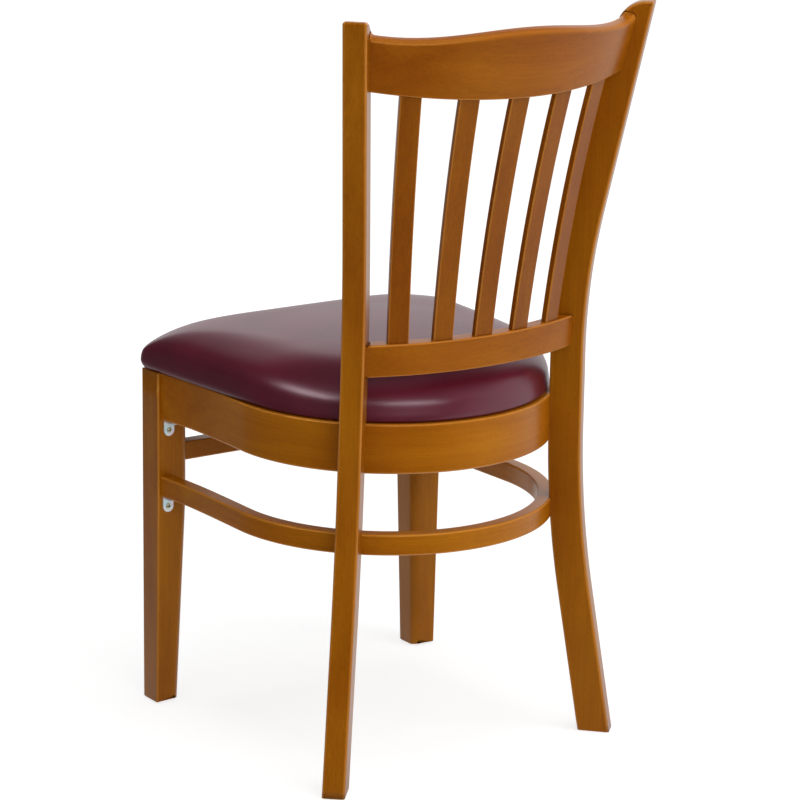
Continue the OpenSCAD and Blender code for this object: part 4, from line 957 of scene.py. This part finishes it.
# Brace screws: one up into each ring's arm, and one into the back of the leg
spots, facing = [], []
for side in (1, -1):
    for x, z in BRACES:
        spots += [(side * x, LEG_BACK + BRACE_HOLE, z - BRACE_T),
                  (side * x, LEG_BACK + BRACE_T, z - BRACE_HOLE)]
        facing += [(0, 0, -1), (0, 1, 0)]
screws = grown("brace_screw_heads", brace_screw_tree(), marks(spots, facing=facing),
               Head_Radius=HEAD_R / 1000, Head_Height=HEAD_H / 1000, Recess_Width=RECESS_W / 1000,
               Recess_Length=RECESS_L / 1000, Recess_Depth=RECESS_D / 1000, Shank_Radius=SHANK_R / 1000,
               Shank_Length=SHANK_L / 1000, Seed=SCREW_SEED, Material=STEEL)
finish_piece(screws, "zinc_steel", STEEL, "brace_screws")

# CAD nodes that stay, with their finishes
kept_nodes = {BLOCK_WOOD: ("front_corner_block_left", "front_corner_block_right", "rear_seat_block_left",
                           "rear_seat_block_right"),
              DOWEL_WOOD: ("ring_dowels", "seat_rail_dowels", "stretcher_ring_dowels",
                           "front_stretcher_dowels"),
              ZINC: ("cover_staples", "seat_screw_washers", "post_bolt_washers", "ring_braces",
                     "stretcher_braces"),
              STEEL: ("seat_screws", "block_screws", "post_bolts", "stretcher_screws"),
              BRASS: ("post_bolt_inserts",), PLY: ("seat_board",), NYLON: ("floor_glides",)}
for material, names in kept_nodes.items():
    for name in names:
        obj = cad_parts[name]
        for s in obj.material_slots:
            s.material = material

# Camera
forward = Vector(LOOK).normalized()
level = forward.cross(Vector((0, 0, 1))).normalized()
upright = level.cross(forward)
across = math.cos(EYE_ROLL) * level + math.sin(EYE_ROLL) * upright
up = -math.sin(EYE_ROLL) * level + math.cos(EYE_ROLL) * upright
cam_data = bpy.data.cameras.new("camera")
cam_data.sensor_width = SENSOR
cam_data.lens = FOCAL_PX / PICTURE_PX * SENSOR
cam_data.clip_start, cam_data.clip_end = 0.1, 60.0
camera = bpy.data.objects.new("camera", cam_data)
camera.matrix_world = Matrix([(a, b, -c, d) for a, b, c, d in zip(across, up, forward, EYE)] + [(0, 0, 0, 1)])
scene.collection.objects.link(camera)
scene.camera = camera


# Floor, world and lamps: white paper behind the chair, a darker room on the camera's side
def room_share(net, vector, dark):
    """0 on the white paper's side and 1 well into the dark part of the room."""
    return net.smooth(net.vector("DOT_PRODUCT", {0: vector, 1: TO_ROOM}, "Value"), *dark)


def floor_paper():
    """Pale paper that keeps the object's shadow, is white to the camera and shows the room in gloss."""
    mat = bpy.data.materials.new("floor_pale")
    mat.use_nodes = True
    mat.node_tree.nodes.clear()
    net = Net(mat.node_tree)
    place = net.here()
    sheet = net.put("ShaderNodeBsdfDiffuse", {0: (0.8, 0.8, 0.8, 1)})
    lighting = net.put("ShaderNodeAddShader", {0: sheet, 1: net.put("ShaderNodeEmission", {1: FLOOR_LIT})})
    glow = net.smooth(net.vector("LENGTH", {0: place}, "Value"), *FLOOR_GLOW)
    grey = net.put("ShaderNodeBsdfDiffuse", {0: (0.34, 0.34, 0.34, 1)})
    seen = net.put("ShaderNodeAddShader", {0: grey, 1: net.put("ShaderNodeEmission", {1: glow})})
    paper = net.math("MULTIPLY_ADD", room_share(net, place, FLOOR_DARK), -0.93, 1.0)
    mirrored = net.put("ShaderNodeEmission", {1: paper})
    net.link(net.by_ray(lighting, seen, mirrored), net.node("ShaderNodeOutputMaterial").inputs[0])
    return mat


def studio_world():
    """Soft light on the object, white to the camera, and a white side and a dark room in gloss."""
    world = bpy.data.worlds.new("studio")
    world.use_nodes = True
    world.node_tree.nodes.clear()
    net = Net(world.node_tree)
    way = net.node("ShaderNodeTexCoord").outputs["Generated"]
    dark = net.math("MAXIMUM", room_share(net, way, ROOM_DARK), net.smooth(net.split(way)[2], *CEILING_DARK))
    lighting, seen, mirrored = (
        net.put("ShaderNodeBackground", {0: (1, 1, 1, 1), 1: strength})
        for strength in (WORLD_LIT, 1.0, net.math("MULTIPLY_ADD", dark, -0.95, 1.0)))
    net.link(net.by_ray(lighting, seen, mirrored), net.node("ShaderNodeOutputWorld").inputs[0])
    return world


corners = [(x * FLOOR_HALF, y * FLOOR_HALF, 0) for x, y in ((-1, -1), (1, -1), (1, 1), (-1, 1))]
floor = mesh_object("floor", corners, [(0, 1, 2, 3)], smooth=False)
floor.data.materials.append(floor_paper())
scene.world = studio_world()
for name, bearing, height, distance, size, power, skipped in LAMPS:
    data = bpy.data.lights.new(name, "AREA")
    data.shape = "RECTANGLE"
    data.size, data.size_y = size
    data.energy = power
    b, h = math.radians(bearing), math.radians(height)
    aim = Vector(LAMP_AIM)
    place = aim + distance * Vector((math.sin(b) * math.cos(h), math.cos(b) * math.cos(h), math.sin(h)))
    lamp = bpy.data.objects.new(name, data)
    lamp.location = place
    lamp.rotation_euler = (aim - place).to_track_quat("-Z", "Y").to_euler()
    if skipped:
        setattr(lamp, skipped, False)
    scene.collection.objects.link(lamp)

scene.view_settings.view_transform = "Standard"
